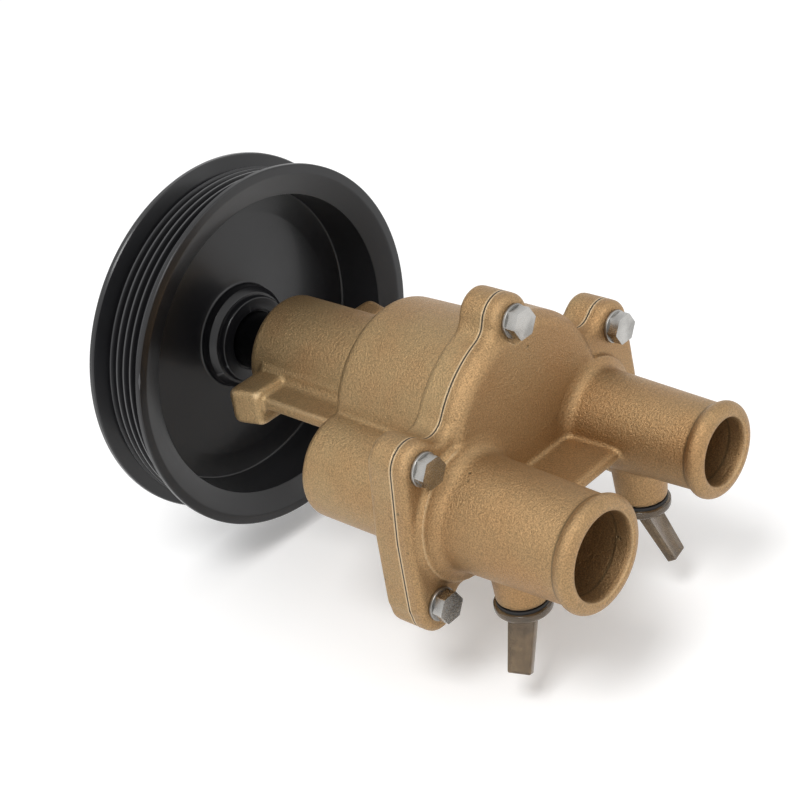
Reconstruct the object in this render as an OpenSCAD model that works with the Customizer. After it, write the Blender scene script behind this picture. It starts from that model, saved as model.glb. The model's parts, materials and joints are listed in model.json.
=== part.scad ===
// Flexible impeller pump for sea water: a sand-cast bronze body and cover with two
// hose ports, a ball-bearing shaft and a six-groove belt pulley.
// The shaft's axis is Y. The pulley is at +Y, the ports open at -Y and the drain
// plugs point down, along -Z. The origin is on the shaft's axis, in the plane of
// the mounting ears' pulley-side faces. All lengths are in millimetres.

/* [Mounting bracket] */
// Distance between the two ear bolt holes
ear_spacing = 63; // [60:0.5:68]
// Radius of the ear bolt holes
ear_hole_r = 4.25; // [3.2:0.05:5]
// Radius of the rounded end of each ear
ear_r = 9; // [8:0.5:10]
// Thickness of the ears along the shaft
ear_thick = 14; // [12:0.5:16]
// Height of the ears' flat top above the shaft's axis
ear_top = 5.2; // [5:0.1:6]
// Depth of the blind bolt holes in the ears
ear_hole_depth = 11; // [8:0.5:11]
// Width across both side shelves, which run from the ears to the barrel
shelf_w = 69; // [64:0.5:72]
// Height of the shelves' top above the shaft's axis
shelf_top = 3; // [1:0.5:4]
// Depth of the shelves' underside below the shaft's axis
shelf_drop = 2; // [1:0.5:4]

/* [Snout and barrel] */
// Outer radius of the bearing snout
snout_r = 21.7; // [20.7:0.1:23]
// How far the snout stands out past the ears' faces
snout_reach = 5.3; // [3:0.1:8]
// Distance from the ears' faces to the barrel's rear face
barrel_back = 48.9; // [47:0.1:54]
// Length of the barrel up to the flange
barrel_len = 43.1; // [41:0.1:50]
// Radius of the barrel at its rear face
barrel_back_r = 33.1; // [32.8:0.1:36]
// Radius of the barrel at the flange
barrel_front_r = 34.2; // [33.8:0.1:37]
// Radius of the two side lobes that hold the water passages
lobe_r = 19.7; // [19:0.1:22]

/* [Flange and cover] */
// Radius of the round part of the flange
flange_r = 40.1; // [39:0.1:42]
// Thickness of the body's flange
flange_thick = 10.4; // [8:0.1:13]
// Thickness of the cover's rim under the bolts
rim_thick = 5.6; // [4.5:0.1:8]
// How far the cover's round face stands above the rim
disc_rise = 2.1; // [1.5:0.1:3.5]
// Thickness of the gasket between body and cover
gasket_thick = 0.4; // [0.3:0.1:1]
// Radius of the lugs round the bolts
lug_r = 9; // [8:0.1:10]
// Height of the top bolt above the shaft's axis
top_lug_z = 40.9; // [39:0.1:44]
// Distance of the two side bolts from the middle
side_lug_x = 52.1; // [50:0.1:54]
// Height of the two side bolts above the shaft's axis
side_lug_z = 12.6; // [10:0.1:15]
// Distance of the two lower bolts from the middle
foot_lug_x = 54.3; // [52:0.1:56]
// Depth of the two lower bolts below the shaft's axis
foot_lug_drop = 39.8; // [38:0.1:43]

/* [Bolts] */
// Radius of the bolts' thread
bolt_r = 3; // [2.5:0.1:3.5]
// Width of the bolts' hexagon across its flats
bolt_flats = 10; // [8:0.5:11]
// Height of the bolts' hexagon
bolt_head = 4; // [3:0.1:5]
// Outer radius of the bolts' washers
washer_r = 6; // [5.6:0.1:7]
// Thickness of the bolts' washers
washer_thick = 1.2; // [0.8:0.1:2]

/* [Ports] */
// Distance between the axes of the two ports
port_spacing = 68.8; // [67:0.1:72]
// Depth of the ports' axes below the shaft's axis
port_drop = 13.2; // [12:0.1:15]
// Length of the ports from the cover's round face to their mouths
port_len = 54.5; // [50:0.5:65]
// Radius of the left port where the hose sits
left_tube_r = 19.1; // [18.6:0.1:20]
// Radius of the left port's bore
left_bore_r = 14.9; // [13:0.1:15.2]
// Radius of the bead at the left port's mouth
left_bead_r = 20.3; // [19.9:0.1:21.5]
// Radius of the right port where the hose sits
right_tube_r = 15.8; // [15.4:0.1:17]
// Radius of the right port's bore
right_bore_r = 11.9; // [10.5:0.1:12.4]
// Radius of the bead at the right port's mouth
right_bead_r = 17.3; // [16.9:0.1:18.5]
// How much the port tubes widen towards the cover
tube_draft = 1.1; // [0.5:0.1:2]

/* [Pump chamber] */
// Radius of the chamber that the impeller sweeps
chamber_r = 28.6; // [27.5:0.1:29]
// Width of the impeller along the shaft
impeller_w = 31.4; // [29:0.1:33]
// Number of rubber vanes
vane_count = 8; // [6:1:10]
// Thickness of a vane
vane_thick = 2.6; // [2:0.1:3.2]
// Radius of the impeller's rubber hub
hub_r = 12; // [11:0.1:13]
// Height of the cam above the chamber's wall
cam_rise = 4; // [3:0.1:4.5]
// Thickness of the wear plate behind the impeller
wear_plate_thick = 1.5; // [1:0.1:2]

/* [Shaft and bearings] */
// Radius of the shaft in the bearings and the pulley
shaft_r = 8.5; // [8:0.1:9]
// Radius of the shaft's shoulder between pulley and bearings
shoulder_r = 11.2; // [10.5:0.1:11.4]
// Radius of the shaft's end inside the impeller
drive_r = 6.35; // [5.8:0.05:6.8]
// Outer radius of the ball bearings
bearing_r = 17.5; // [17:0.1:18]
// Width of a ball bearing
bearing_w = 10; // [9:0.5:11]
// Distance between the two bearings
bearing_gap = 16; // [14:0.5:17]
// Number of balls in a bearing
ball_count = 9; // [7:1:10]
// Radius of a ball
ball_r = 2.4; // [2.2:0.05:2.6]

/* [Pulley] */
// Outer radius of the pulley
pulley_r = 70; // [66:0.5:76]
// Width of the pulley's rim
pulley_w = 27.9; // [27:0.1:32]
// Distance from the ears' faces to the pulley's near rim
pulley_gap = 11; // [9:0.1:15]
// Number of belt grooves
groove_count = 6; // [4:1:6]
// Distance from one belt groove to the next
groove_pitch = 3.56; // [3.4:0.02:3.6]
// Depth of a belt groove
groove_depth = 2.6; // [2:0.1:3]
// Depth of the belt ribs' tips below the rims of the flanges beside them
belt_recess = 4.2; // [3.4:0.1:4.6]
// Radius of the rim's inner wall
rim_inner_r = 58.1; // [55:0.1:60]
// Thickness of the pulley's web
web_thick = 4.6; // [3.5:0.1:5]
// Radius of the pulley's hub
pulley_hub_r = 20; // [18:0.1:22]
// How far the hub stands in front of the web
hub_reach = 9.2; // [7:0.1:11]

/* [Drain plugs] */
// Distance of the drain plugs' axes from the ports' mouths
drain_back = 37.5; // [35:0.1:40]
// Depth of the drain bosses' ends below the shaft's axis
drain_drop = 42.5; // [41:0.1:46]
// Radius of the drain bosses at their ends
drain_boss_r = 9.2; // [8.6:0.1:10]
// Radius of the drain plugs' threaded stem
plug_stem_r = 5.95; // [5.4:0.05:6.4]
// Radius of the drain plugs' collar
plug_collar_r = 10.2; // [9.8:0.1:11]
// Height of the drain plugs' collar
plug_collar_h = 3.4; // [2.8:0.1:4.5]
// Length of the drain plugs' flat handle
plug_handle_len = 24; // [20:0.5:28]
// Width of the handle at its tip
plug_handle_w = 8.3; // [7:0.1:9.5]
// Thickness of the handle
plug_handle_thick = 5; // [4:0.1:6]
// Lean of the handle away from the plug's axis, in degrees
plug_lean = 28; // [20:1:34]

/* [Hidden] */
$fn = 96;

// Clearances: a fixed piece in its hole, a turning fit, and open faces that pass
seat_gap = 0.05;
run_gap = 0.05;
side_gap = 0.3;
// Every cut runs this far past the face that it opens
overrun = 1;
// Steps of a rounded edge in an outline
round_steps = 8;

// Places along the shaft
snout_y = snout_reach;
barrel_y = -barrel_back;
flange_y = barrel_y - barrel_len;
parting_y = flange_y - flange_thick;
cover_y = parting_y - gasket_thick;
lug_y = cover_y - rim_thick;
disc_y = lug_y - disc_rise;
mouth_y = disc_y - port_len;

// Bearing stack, from the snout's end inwards
snout_edge = 0.8;
seal_recess = 0.5;
dust_seal_w = 5;
clip_w = 1.5;
clip_groove = 1.1;
clip_land = 1.9;
dust_seal_y = snout_y - seal_recess;
clip_y = dust_seal_y - dust_seal_w;
front_bearing_y = clip_y - clip_w;
spacer_y = front_bearing_y - bearing_w;
rear_bearing_y = spacer_y - bearing_gap;
bearing_end_y = rear_bearing_y - bearing_w;

// Behind the bearings: a land, the slinger's room, the seal's wall and its room
land_r = bearing_r - 3 * snout_edge;
land_w = 2.5;
slinger_room_r = 16;
slinger_room_w = 6.5;
seal_wall_w = 7;
seat_r = 14;
seal_room_r = 19;
land_y = bearing_end_y - land_w;
seal_wall_y = land_y - slinger_room_w;
seal_face_y = seal_wall_y - seal_wall_w;
weep_r = 2.5;

// Chamber
impeller_front_y = cover_y + side_gap;
impeller_back_y = impeller_front_y + impeller_w;
plate_y = impeller_back_y + side_gap;
floor_y = plate_y + wear_plate_thick;
chamber_wall = 3;
passage_wall = 4.1;
passage_r = lobe_r - passage_wall;
passage_floor_y = barrel_y - passage_wall;
window_edge = 4;
cover_floor = 3;
port_x = port_spacing / 2;

// Flange outline
port_pad_r = 27;
side_bulge = 2.2;
side_knee_drop = 12;
lug_blend_r = 7;
pad_blend_r = 10;
foot_blend_r = 3;
toe_r = 8.5;
toe_sink = 2.7;
toe_inset = 0.3;
toe_drop = foot_lug_drop + toe_sink;
toe_x = foot_lug_x - toe_inset;
side_x = side_lug_x + lug_r + side_bulge;
pad_drop = port_drop + port_pad_r;
lug_places = [[0, top_lug_z], [side_lug_x, side_lug_z], [-side_lug_x, side_lug_z],
    [foot_lug_x, -foot_lug_drop], [-foot_lug_x, -foot_lug_drop]];
barrel_edge = 3;
lobe_edge = 2;
disc_edge = 3.5;
disc_r = flange_r - 1;

// Ports
bead_round = 3.4;
mouth_round = 1.5;
hose_land = 14;
left_boss_r = 23.3;
boss_rise = 3.1;
boss_edge = 1.5;
root_blend = 1.4;
right_boss_r = right_tube_r + tube_draft + root_blend + boss_edge + overrun;
bridge_top = 13;
bridge_thick = 4.3;
bridge_reach = 22.4;
land_start_y = mouth_y + bead_round + hose_land;
bead_y = mouth_y + bead_round;

// Bolts
bolt_hole_r = bolt_r + seat_gap;
washer_hole_r = bolt_r + 2 * seat_gap;
washer_y = lug_y - washer_thick;
spot_margin = 1.3;
bolt_end_edge = 0.5;
head_bevel = 0.5;
circum_share = 1 / cos(30);
hex_sides = 6;

// Cam and its screw
cam_half_turn = 40;
cam_mid_y = (plate_y + cover_y) / 2;
cam_mid_z = chamber_r - cam_rise;
cam_half_chord = chamber_r * sin(cam_half_turn);
cam_sag = cam_mid_z - chamber_r * cos(cam_half_turn);
cam_round_r = (cam_half_chord * cam_half_chord + cam_sag * cam_sag) / (2 * cam_sag);
cam_screw_r = 2.5;
cam_screw_flats = 8;
cam_screw_head = 3.2;
cam_thread = 2.6;
cam_pad_r = 7;
cam_pad_rise = 2;
cam_pad_z = -barrel_front_r - cam_pad_rise;

// Bearings
race_gap = run_gap;
ball_pitch_r = (shaft_r + bearing_r) / 2;
race_rim = 1.6;
inner_rim_r = ball_pitch_r - race_rim;
outer_rim_r = ball_pitch_r + race_rim;
cage_half = 0.8;
cage_w = 7;
shield_thick = 0.4;
shield_inset = 0.3;
shield_lap = 0.5;

// Shaft
hub_counterbore = 1;
shaft_shoulder_end_y = front_bearing_y;
shaft_end_y = impeller_front_y + side_gap;
shaft_edge = 0.8;
center_r = 2.2;
center_depth = 4;
key_w = 3;
key_h = 3;
key_sunk = 1.4;
key_len = 16;
key_y = (impeller_front_y + impeller_back_y) / 2;
bushing_r = 9;

// Shaft seal and slinger
slinger_r = 12.5;
slinger_neck_r = 10.4;
slinger_w = 4.5;
slinger_disc = 1.6;
seal_face_r = 12.6;
seal_face_w = 3;
seal_face_bore = shaft_r + seat_gap;
seat_face_r = 12.2;
seat_cup_w = 5.5;
seat_run_r = shaft_r + side_gap;
seal_case_w = 2;
seal_case_r = 14;
bellows_r = 10;
retainer_w = 1.5;
seal_start_y = seal_face_y - side_gap;
seal_case_y = seal_start_y - seal_face_w;
bellows_y = seal_case_y - seal_case_w;
retainer_y = floor_y + retainer_w + side_gap;
spring_wire_r = 0.8;
spring_r = bellows_r + spring_wire_r + side_gap;
spring_turns = 4;
spring_steps = 20;
spring_sides = 6;

// Impeller
vane_gap = 0.3;
tip_r = 1.9;
vane_steps = 12;
solve_steps = 24;
max_bend = 170;
degree = PI / 180;
vane_len = chamber_r - vane_gap - tip_r - hub_r;
cam_reach = cam_mid_z - vane_gap - tip_r;

// Pulley
pulley_y = pulley_gap;
pulley_back_y = pulley_y + pulley_w;
rim_bevel_share = 0.95;
rim_bevel_r = rim_bevel_share * pulley_r;
rim_lip = 3.1;
groove_lead = (pulley_w - groove_count * groove_pitch) / 2;
belt_rib_r = pulley_r - belt_recess;
flange_slope = 0.8;
groove_top_w = 2.7;
groove_floor_w = 0.8;
web_recess = 0.8;
groove_half_angle = 20;
groove_start_share = 0.5;
web_back_y = pulley_back_y - web_recess;
web_y = web_back_y - web_thick;
web_flat_share = 0.8244;
web_flat_r = web_flat_share * rim_inner_r;
web_dish = 0.9;
hub_y = web_y - hub_reach;
hub_step_in = 3.2;
hub_cone_in = 1.9;
hub_step_r = pulley_hub_r - hub_step_in;
hub_cone_r = pulley_hub_r - hub_cone_in;
hub_face_edge = 0.6;
hub_step = 3.1;
hub_chamfer = 2;
hub_bore_lip = 0.6;
hub_bore_lip_r = shoulder_r + hub_bore_lip;
rim_edge = 0.5;

// Drain plugs
drain_y = mouth_y + drain_back;
boss_draft = 4;
boss_spread = (drain_drop - port_drop) * tan(boss_draft);
bridge_half = port_x - drain_boss_r - boss_spread - overrun;
drain_ring_thick = 1.2;
plug_hole_r = plug_stem_r + run_gap;
plug_stem_len = 11;
plug_collar_edge = 1.6;
plug_ring_z = -drain_drop - drain_ring_thick;
plug_bottom_z = plug_ring_z - plug_collar_h;
plug_root_flare = 1.7;
plug_root_w = plug_handle_w + plug_root_flare;
left_plug_turn = 200;
right_plug_turn = 282;

// Points of an arc about a centre, from one angle to another
function arc(center, r, from, to) = [for (i = [0 : round_steps])
    let (a = from + (to - from) * i / round_steps) center + r * [cos(a), sin(a)]];

// Centre of the round that blends two circles on one side of the line between them
function blend_center(a, ra, b, rb, r, side) = let (d = norm(b - a), u = (b - a) / d,
    x = (d * d + pow(ra + r, 2) - pow(rb + r, 2)) / (2 * d), h = sqrt(pow(ra + r, 2) - x * x))
    a + x * u + side * h * [-u[1], u[0]];

// Direction of a flat vector, in degrees
function heading(v) = atan2(v[1], v[0]);

// Points of the shorter arc between two directions
function short_arc(center, r, from, to) = arc(center, r, from, from + (to - from + 900) % 360 - 180);

// An outline without the points that repeat the one before them
function distinct(points) = [for (i = [0 : len(points) - 1])
    if (norm(points[i] - points[(i + 1) % len(points)]) > seat_gap) points[i]];

// Turns an outline, given as radius and place along the shaft, about the shaft
module turned(points) {
    rotate([-90, 0, 0]) rotate_extrude() polygon(points);
}

// A plain ring about the shaft between two places along it
module ring(inner, outer, low, high) {
    turned([[inner, low], [outer, low], [outer, high], [inner, high]]);
}

// A round bar or hole about the shaft between two places along it
module bar(r, low, high) {
    turned([[0, low], [r, low], [r, high], [0, high]]);
}

// Extrudes a flat outline, drawn as X and Z, between two places along the shaft
module slab(low, high) {
    translate([0, high, 0]) rotate([90, 0, 0]) linear_extrude(high - low) children();
}

// Moves what is drawn about the shaft to the axis of one port
module at_port(side) {
    translate([side * port_x, 0, -port_drop]) children();
}

// A bar along Z between two heights, with its own radius at each end
module post(r_low, r_high, low, high) {
    translate([0, 0, low]) cylinder(h = high - low, r1 = r_low, r2 = r_high);
}

// A flat round plate, drawn at a place in X and Z, between two places along the shaft
module plate(place, r, low, high) {
    translate([place[0], 0, place[1]]) bar(r, low, high);
}

// Right half of the joint between body and cover, from the top to the bottom: a round
// flange with lugs for the bolts, blended into each other
function flange_half() = let (hub = [0, 0], top = [0, top_lug_z], side = [side_lug_x, side_lug_z],
    pad = [port_x, -port_drop], toe = [toe_x, -toe_drop],
    top_blend = blend_center(hub, flange_r, top, lug_r, lug_blend_r, -1),
    side_blend = blend_center(hub, flange_r, side, lug_r, lug_blend_r, 1),
    pad_blend = blend_center(hub, flange_r, pad, port_pad_r, pad_blend_r, -1),
    corner_z = -pad_drop - foot_blend_r,
    corner = [toe_x - sqrt(pow(toe_r + foot_blend_r, 2) - pow(corner_z + toe_drop, 2)), corner_z])
    concat(arc(top, lug_r, 90, heading(top_blend - top)),
        short_arc(top_blend, lug_blend_r, heading(top - top_blend), heading(-top_blend)),
        short_arc(hub, flange_r, heading(top_blend), heading(side_blend)),
        short_arc(side_blend, lug_blend_r, heading(-side_blend), heading(side - side_blend)),
        short_arc(side, lug_r, heading(side_blend - side), 0),
        [[side_x, -side_knee_drop], [side_x, -foot_lug_drop]],
        arc(toe, toe_r, 0, heading(corner - toe) - (corner[1] > toe[1] ? 360 : 0)),
        short_arc(corner, foot_blend_r, heading(toe - corner), 90),
        short_arc(pad, port_pad_r, -90, heading(pad_blend - pad)),
        short_arc(pad_blend, pad_blend_r, heading(pad - pad_blend), heading(-pad_blend)),
        short_arc(hub, flange_r, heading(pad_blend), -90));

module flange_plate(low, high) {
    half = flange_half();
    whole = concat(half, [for (i = [len(half) - 2 : -1 : 1]) [-half[i][0], half[i][1]]]);
    slab(low, high) polygon(distinct(whole));
}

// Water passage beside the chamber: a round hole less the chamber's wall
module passage_outline(side) {
    difference() {
        translate([side * port_x, -port_drop]) circle(passage_r);
        circle(chamber_r + chamber_wall);
    }
}

module lug_holes(r, low, high) {
    for (place = lug_places) translate([place[0], 0, place[1]]) bar(r, low, high);
}

// Both ears with the bar between them, flat on top
module ears() {
    difference() {
        union() {
            for (side = [-1, 1]) translate([side * ear_spacing / 2, 0, 0]) bar(ear_r, -ear_thick, 0);
            slab(-ear_thick, 0) square([ear_spacing, 2 * ear_r], center = true);
        }
        slab(-ear_thick - overrun, overrun)
            translate([-ear_spacing, ear_top]) square([2 * ear_spacing, ear_r]);
    }
}

module barrel_shape() {
    turned(concat([[0, parting_y], [barrel_front_r, parting_y], [barrel_front_r, flange_y]],
        arc([barrel_back_r - barrel_edge, barrel_y - barrel_edge], barrel_edge, 0, 90),
        [[0, barrel_y]]));
    for (side = [-1, 1]) at_port(side) turned(concat(
        [[0, parting_y], [lobe_r, parting_y]],
        arc([lobe_r - lobe_edge, barrel_y - lobe_edge], lobe_edge, 0, 90), [[0, barrel_y]]));
    flange_plate(parting_y, flange_y);
    translate([0, cam_mid_y, 0]) post(cam_pad_r, cam_pad_r, cam_pad_z, -chamber_r);
}

// Everything bored about the shaft, from the snout's end to the parting face
module body_bore() {
    turned([[0, snout_y + overrun], [bearing_r, snout_y + overrun],
        [bearing_r, bearing_end_y], [land_r, bearing_end_y], [land_r, land_y],
        [slinger_room_r, land_y], [slinger_room_r, seal_wall_y], [seat_r, seal_wall_y],
        [seat_r, seal_face_y], [seal_room_r, seal_face_y], [seal_room_r, floor_y],
        [chamber_r, floor_y], [chamber_r, parting_y - overrun], [0, parting_y - overrun]]);
    ring(bearing_r - overrun, bearing_r + clip_groove, clip_y - clip_w, clip_y);
}

// The barrel, lobes and flange, which are split along the shaft into two plainer nodes
module barrel_casting() {
    difference() {
        barrel_shape();
        body_bore();
        for (side = [-1, 1]) {
            slab(parting_y - overrun, passage_floor_y) passage_outline(side);
            at_port(side) bar(passage_r, parting_y + window_edge, floor_y - window_edge);
        }
        lug_holes(bolt_hole_r, parting_y - overrun, flange_y + overrun);
        translate([0, cam_mid_y, 0])
            post(cam_screw_r + seat_gap, cam_screw_r + seat_gap, cam_pad_z - overrun, -cam_mid_z);
    }
}

// The stretch of the barrel casting between two places along the shaft
module barrel_stretch(low, high) {
    color("#a5834a") intersection() {
        barrel_casting();
        slab(low, high) square(4 * flange_r, center = true);
    }
}

// Front of the casting: the chamber with its water passages and the flange
module pump_body() {
    barrel_stretch(parting_y - overrun, floor_y);
}

// Middle of the casting: the barrel's back with the shaft seal's room
module seal_housing() {
    barrel_stretch(floor_y, barrel_y + overrun);
}

// Back of the casting: the bearing snout with its shelves and ears
module bearing_housing() {
    color("#a5834a") difference() {
        union() {
            turned([[0, barrel_y], [snout_r, barrel_y], [snout_r, snout_y - snout_edge],
                [snout_r - snout_edge, snout_y], [0, snout_y]]);
            ears();
            slab(barrel_y, -ear_thick / 2)
                translate([-shelf_w / 2, -shelf_drop]) square([shelf_w, shelf_drop + shelf_top]);
        }
        body_bore();
        for (side = [-1, 1]) translate([side * ear_spacing / 2, 0, 0])
            bar(ear_hole_r, -ear_hole_depth, overrun);
        translate([0, (land_y + seal_wall_y) / 2, 0])
            post(weep_r, weep_r, -snout_r - overrun, -slinger_room_r + overrun);
    }
}

// One hose port about its own axis: boss, blended root, tube, bead and rounded mouth
module port_tube(tube_r, bead_r, boss, rise) {
    bead = [bead_r - bead_round, bead_y];
    bead_turn = acos((tube_r - bead[0]) / bead_round);
    root_r = tube_r + tube_draft;
    face_y = disc_y - rise;
    turned(concat([[0, cover_y], [boss, cover_y]],
        arc([boss - boss_edge, face_y + boss_edge], boss_edge, 0, -90),
        arc([root_r + root_blend, face_y - root_blend], root_blend, 90, 180),
        [[tube_r, land_start_y]], arc(bead, bead_round, bead_turn, -90), [[0, mouth_y]]));
}

// Bore of one port, with its rounded mouth
module port_bore(bore_r) {
    turned(concat([[0, mouth_y - overrun], [bore_r + mouth_round, mouth_y - overrun]],
        arc([bore_r + mouth_round, mouth_y + mouth_round], mouth_round, 270, 180),
        [[bore_r, cover_y - cover_floor], [0, cover_y - cover_floor]]));
}

// Both ports with their drain bosses, and the bridge between them
module port_pair() {
    at_port(-1) port_tube(left_tube_r, left_bead_r, left_boss_r, boss_rise);
    at_port(1) port_tube(right_tube_r, right_bead_r, right_boss_r, boss_edge);
    for (side = [-1, 1]) translate([side * port_x, drain_y, 0])
        post(drain_boss_r, drain_boss_r + boss_spread, -drain_drop, -port_drop);
    bridge_low = -bridge_top - bridge_thick;
    translate([-bridge_half, 0, 0]) rotate([90, 0, 90]) linear_extrude(2 * bridge_half)
        polygon(concat([[cover_y, bridge_low], [cover_y, -bridge_top]],
            arc([disc_y - bridge_reach + bridge_thick / 2, bridge_low + bridge_thick / 2],
                bridge_thick / 2, 90, 270)));
}

module cover_shape() {
    port_pair();
    union() {
        flange_plate(lug_y, cover_y);
        turned(concat([[0, cover_y], [disc_r, cover_y]],
            arc([disc_r - disc_edge, disc_y + disc_edge], disc_edge, 0, -90), [[0, disc_y]]));
    }
}

module cover() {
    color("#ad8a50") difference() {
        cover_shape();
        at_port(-1) port_bore(left_bore_r);
        at_port(1) port_bore(right_bore_r);
        for (side = [-1, 1]) {
            slab(cover_y - cover_floor - seat_gap, cover_y + overrun) passage_outline(side);
            translate([side * port_x, drain_y, 0])
                post(plug_hole_r, plug_hole_r, -drain_drop - overrun, -port_drop);
        }
        lug_holes(bolt_hole_r, lug_y - overrun, cover_y + overrun);
        lug_holes(washer_r + spot_margin, disc_y - overrun, lug_y);
    }
}

module cover_gasket() {
    color("#2c2a26") difference() {
        flange_plate(cover_y, parting_y);
        bar(chamber_r, cover_y - overrun, parting_y + overrun);
        for (side = [-1, 1])
            slab(cover_y - overrun, parting_y + overrun) passage_outline(side);
        lug_holes(bolt_hole_r, cover_y - overrun, parting_y + overrun);
    }
}

// A hexagon head about the shaft's direction, its outer corners bevelled
module hex_head(flats, low, high) {
    corner_r = flats / 2 * circum_share;
    intersection() {
        translate([0, high, 0]) rotate([90, 0, 0]) cylinder(h = high - low, r = corner_r, $fn = hex_sides);
        turned([[0, low], [corner_r - head_bevel * 2, low], [corner_r, low + head_bevel],
            [corner_r, high], [0, high]]);
    }
}

module cover_bolts() {
    color("#c9cbcc") for (place = lug_places) translate([place[0], 0, place[1]]) {
        hex_head(bolt_flats, washer_y - bolt_head, washer_y);
        turned([[0, washer_y - bolt_head / 2], [bolt_r, washer_y - bolt_head / 2],
            [bolt_r, flange_y - bolt_end_edge], [bolt_r - bolt_end_edge, flange_y], [0, flange_y]]);
    }
}

module bolt_washers() {
    color("#b9bbbd") for (place = lug_places) translate([place[0], 0, place[1]])
        ring(washer_hole_r, washer_r, washer_y, lug_y);
}

module cam() {
    color("#b08d57") difference() {
        slab(cover_y, plate_y) difference() {
            circle(chamber_r);
            translate([0, cam_round_r - cam_mid_z]) circle(cam_round_r);
        }
        translate([0, cam_mid_y, 0]) post(cam_screw_r + seat_gap, cam_screw_r + seat_gap,
            -chamber_r - overrun, -chamber_r + cam_thread);
    }
}

module cam_screw() {
    color("#c9cbcc") translate([0, cam_mid_y, 0]) {
        post(cam_screw_r, cam_screw_r, cam_pad_z, -chamber_r + cam_thread - seat_gap);
        translate([0, 0, cam_pad_z - cam_screw_head]) cylinder(h = cam_screw_head,
            r = cam_screw_flats / 2 * circum_share, $fn = hex_sides);
    }
}

module wear_plate() {
    color("#c7c0a8") ring(shaft_r + side_gap, chamber_r - seat_gap, plate_y, floor_y);
}

// Rubber lip seal at the snout's mouth: a case, a web and a lip on the shoulder
module dust_seal() {
    lip = 1.2;
    case = 2;
    color("#26272a") turned([[bearing_r - seat_gap, clip_y], [bearing_r - case, clip_y],
        [bearing_r - case, dust_seal_y - 2 * lip], [shoulder_r + 2 * lip, dust_seal_y - 2 * lip],
        [shoulder_r + run_gap, clip_y + lip], [shoulder_r + run_gap, dust_seal_y - lip],
        [shoulder_r + 2 * lip, dust_seal_y], [bearing_r - seat_gap, dust_seal_y]]);
}

// Open spring ring in its groove in front of the bearings
module retaining_ring() {
    opening = 12;
    color("#8d9094") difference() {
        ring(bearing_r - clip_land, bearing_r + clip_groove - 2 * seat_gap,
            clip_y - clip_w, clip_y);
        translate([-opening / 2, clip_y - clip_w - overrun, -bearing_r - 2 * clip_groove])
            cube([opening, clip_w + 2 * overrun, clip_land + clip_groove + overrun + 2 * clip_groove]);
    }
}

// Torus that the balls roll in
module race(mid_y) {
    translate([0, mid_y, 0]) rotate([-90, 0, 0]) rotate_extrude()
        translate([ball_pitch_r, 0]) circle(ball_r + race_gap);
}

module outer_ring(high) {
    color("#9a9da1") difference() {
        ring(outer_rim_r, bearing_r - seat_gap, high - bearing_w, high);
        race(high - bearing_w / 2);
        for (end = [high - bearing_w + shield_inset, high - shield_inset - shield_thick])
            ring(outer_rim_r - overrun, outer_rim_r + shield_lap, end, end + shield_thick);
    }
}

module inner_ring(high) {
    color("#a6a9ad") difference() {
        ring(shaft_r + seat_gap, inner_rim_r, high - bearing_w, high);
        race(high - bearing_w / 2);
    }
}

module front_outer_ring() {
    outer_ring(front_bearing_y);
}

module rear_outer_ring() {
    outer_ring(rear_bearing_y);
}

module front_inner_ring() {
    inner_ring(front_bearing_y);
}

module rear_inner_ring() {
    inner_ring(rear_bearing_y);
}

module bearing_shields() {
    color("#5b5e63") for (high = [front_bearing_y, rear_bearing_y],
        end = [high - bearing_w + shield_inset, high - shield_inset - shield_thick])
        ring(inner_rim_r + side_gap, outer_rim_r + shield_lap - seat_gap, end, end + shield_thick);
}

module ball_set(high) {
    color("#d5d7da") for (i = [0 : ball_count - 1]) rotate([0, i * 360 / ball_count, 0])
        translate([ball_pitch_r, high - bearing_w / 2, 0]) sphere(ball_r);
}

module cage_ring(high) {
    color("#8a6f3d") difference() {
        ring(ball_pitch_r - cage_half, ball_pitch_r + cage_half,
            high - (bearing_w + cage_w) / 2, high - (bearing_w - cage_w) / 2);
        for (i = [0 : ball_count - 1]) rotate([0, i * 360 / ball_count, 0])
            translate([ball_pitch_r - cage_half - overrun, high - bearing_w / 2, 0])
            rotate([0, 90, 0]) cylinder(h = 2 * (cage_half + overrun), r = ball_r + seat_gap);
    }
}

module front_balls() {
    ball_set(front_bearing_y);
}

module front_cage() {
    cage_ring(front_bearing_y);
}

module rear_balls() {
    ball_set(rear_bearing_y);
}

module rear_cage() {
    cage_ring(rear_bearing_y);
}

module bearing_spacer() {
    color("#7d8085") ring(shaft_r + seat_gap, inner_rim_r - seat_gap, rear_bearing_y, spacer_y);
}

// Rubber ring that throws leaked water off the shaft above the weep hole
module slinger() {
    mid_y = (land_y + seal_wall_y) / 2;
    color("#1f2022") turned([[shaft_r, mid_y - slinger_w / 2], [slinger_neck_r, mid_y - slinger_w / 2],
        [slinger_neck_r, mid_y - slinger_disc / 2], [slinger_r, mid_y - slinger_disc / 2],
        [slinger_r, mid_y + slinger_disc / 2], [slinger_neck_r, mid_y + slinger_disc / 2],
        [slinger_neck_r, mid_y + slinger_w / 2], [shaft_r, mid_y + slinger_w / 2]]);
}

// Fixed ceramic face in its rubber cup
module seal_seat() {
    color("#e4e1d6") turned([[seat_run_r, seal_face_y], [seat_face_r, seal_face_y],
        [seat_face_r, seal_face_y + overrun], [seat_r - seat_gap, seal_face_y + overrun],
        [seat_r - seat_gap, seal_face_y + seat_cup_w], [seat_run_r, seal_face_y + seat_cup_w]]);
}

module seal_face() {
    color("#303234") ring(seal_face_bore, seal_face_r, seal_case_y, seal_start_y);
}

module seal_head() {
    color("#3a3a38") turned([[shaft_r, retainer_y], [bellows_r, retainer_y], [bellows_r, bellows_y],
        [seal_case_r, bellows_y], [seal_case_r, seal_case_y], [shaft_r, seal_case_y]]);
}

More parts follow.
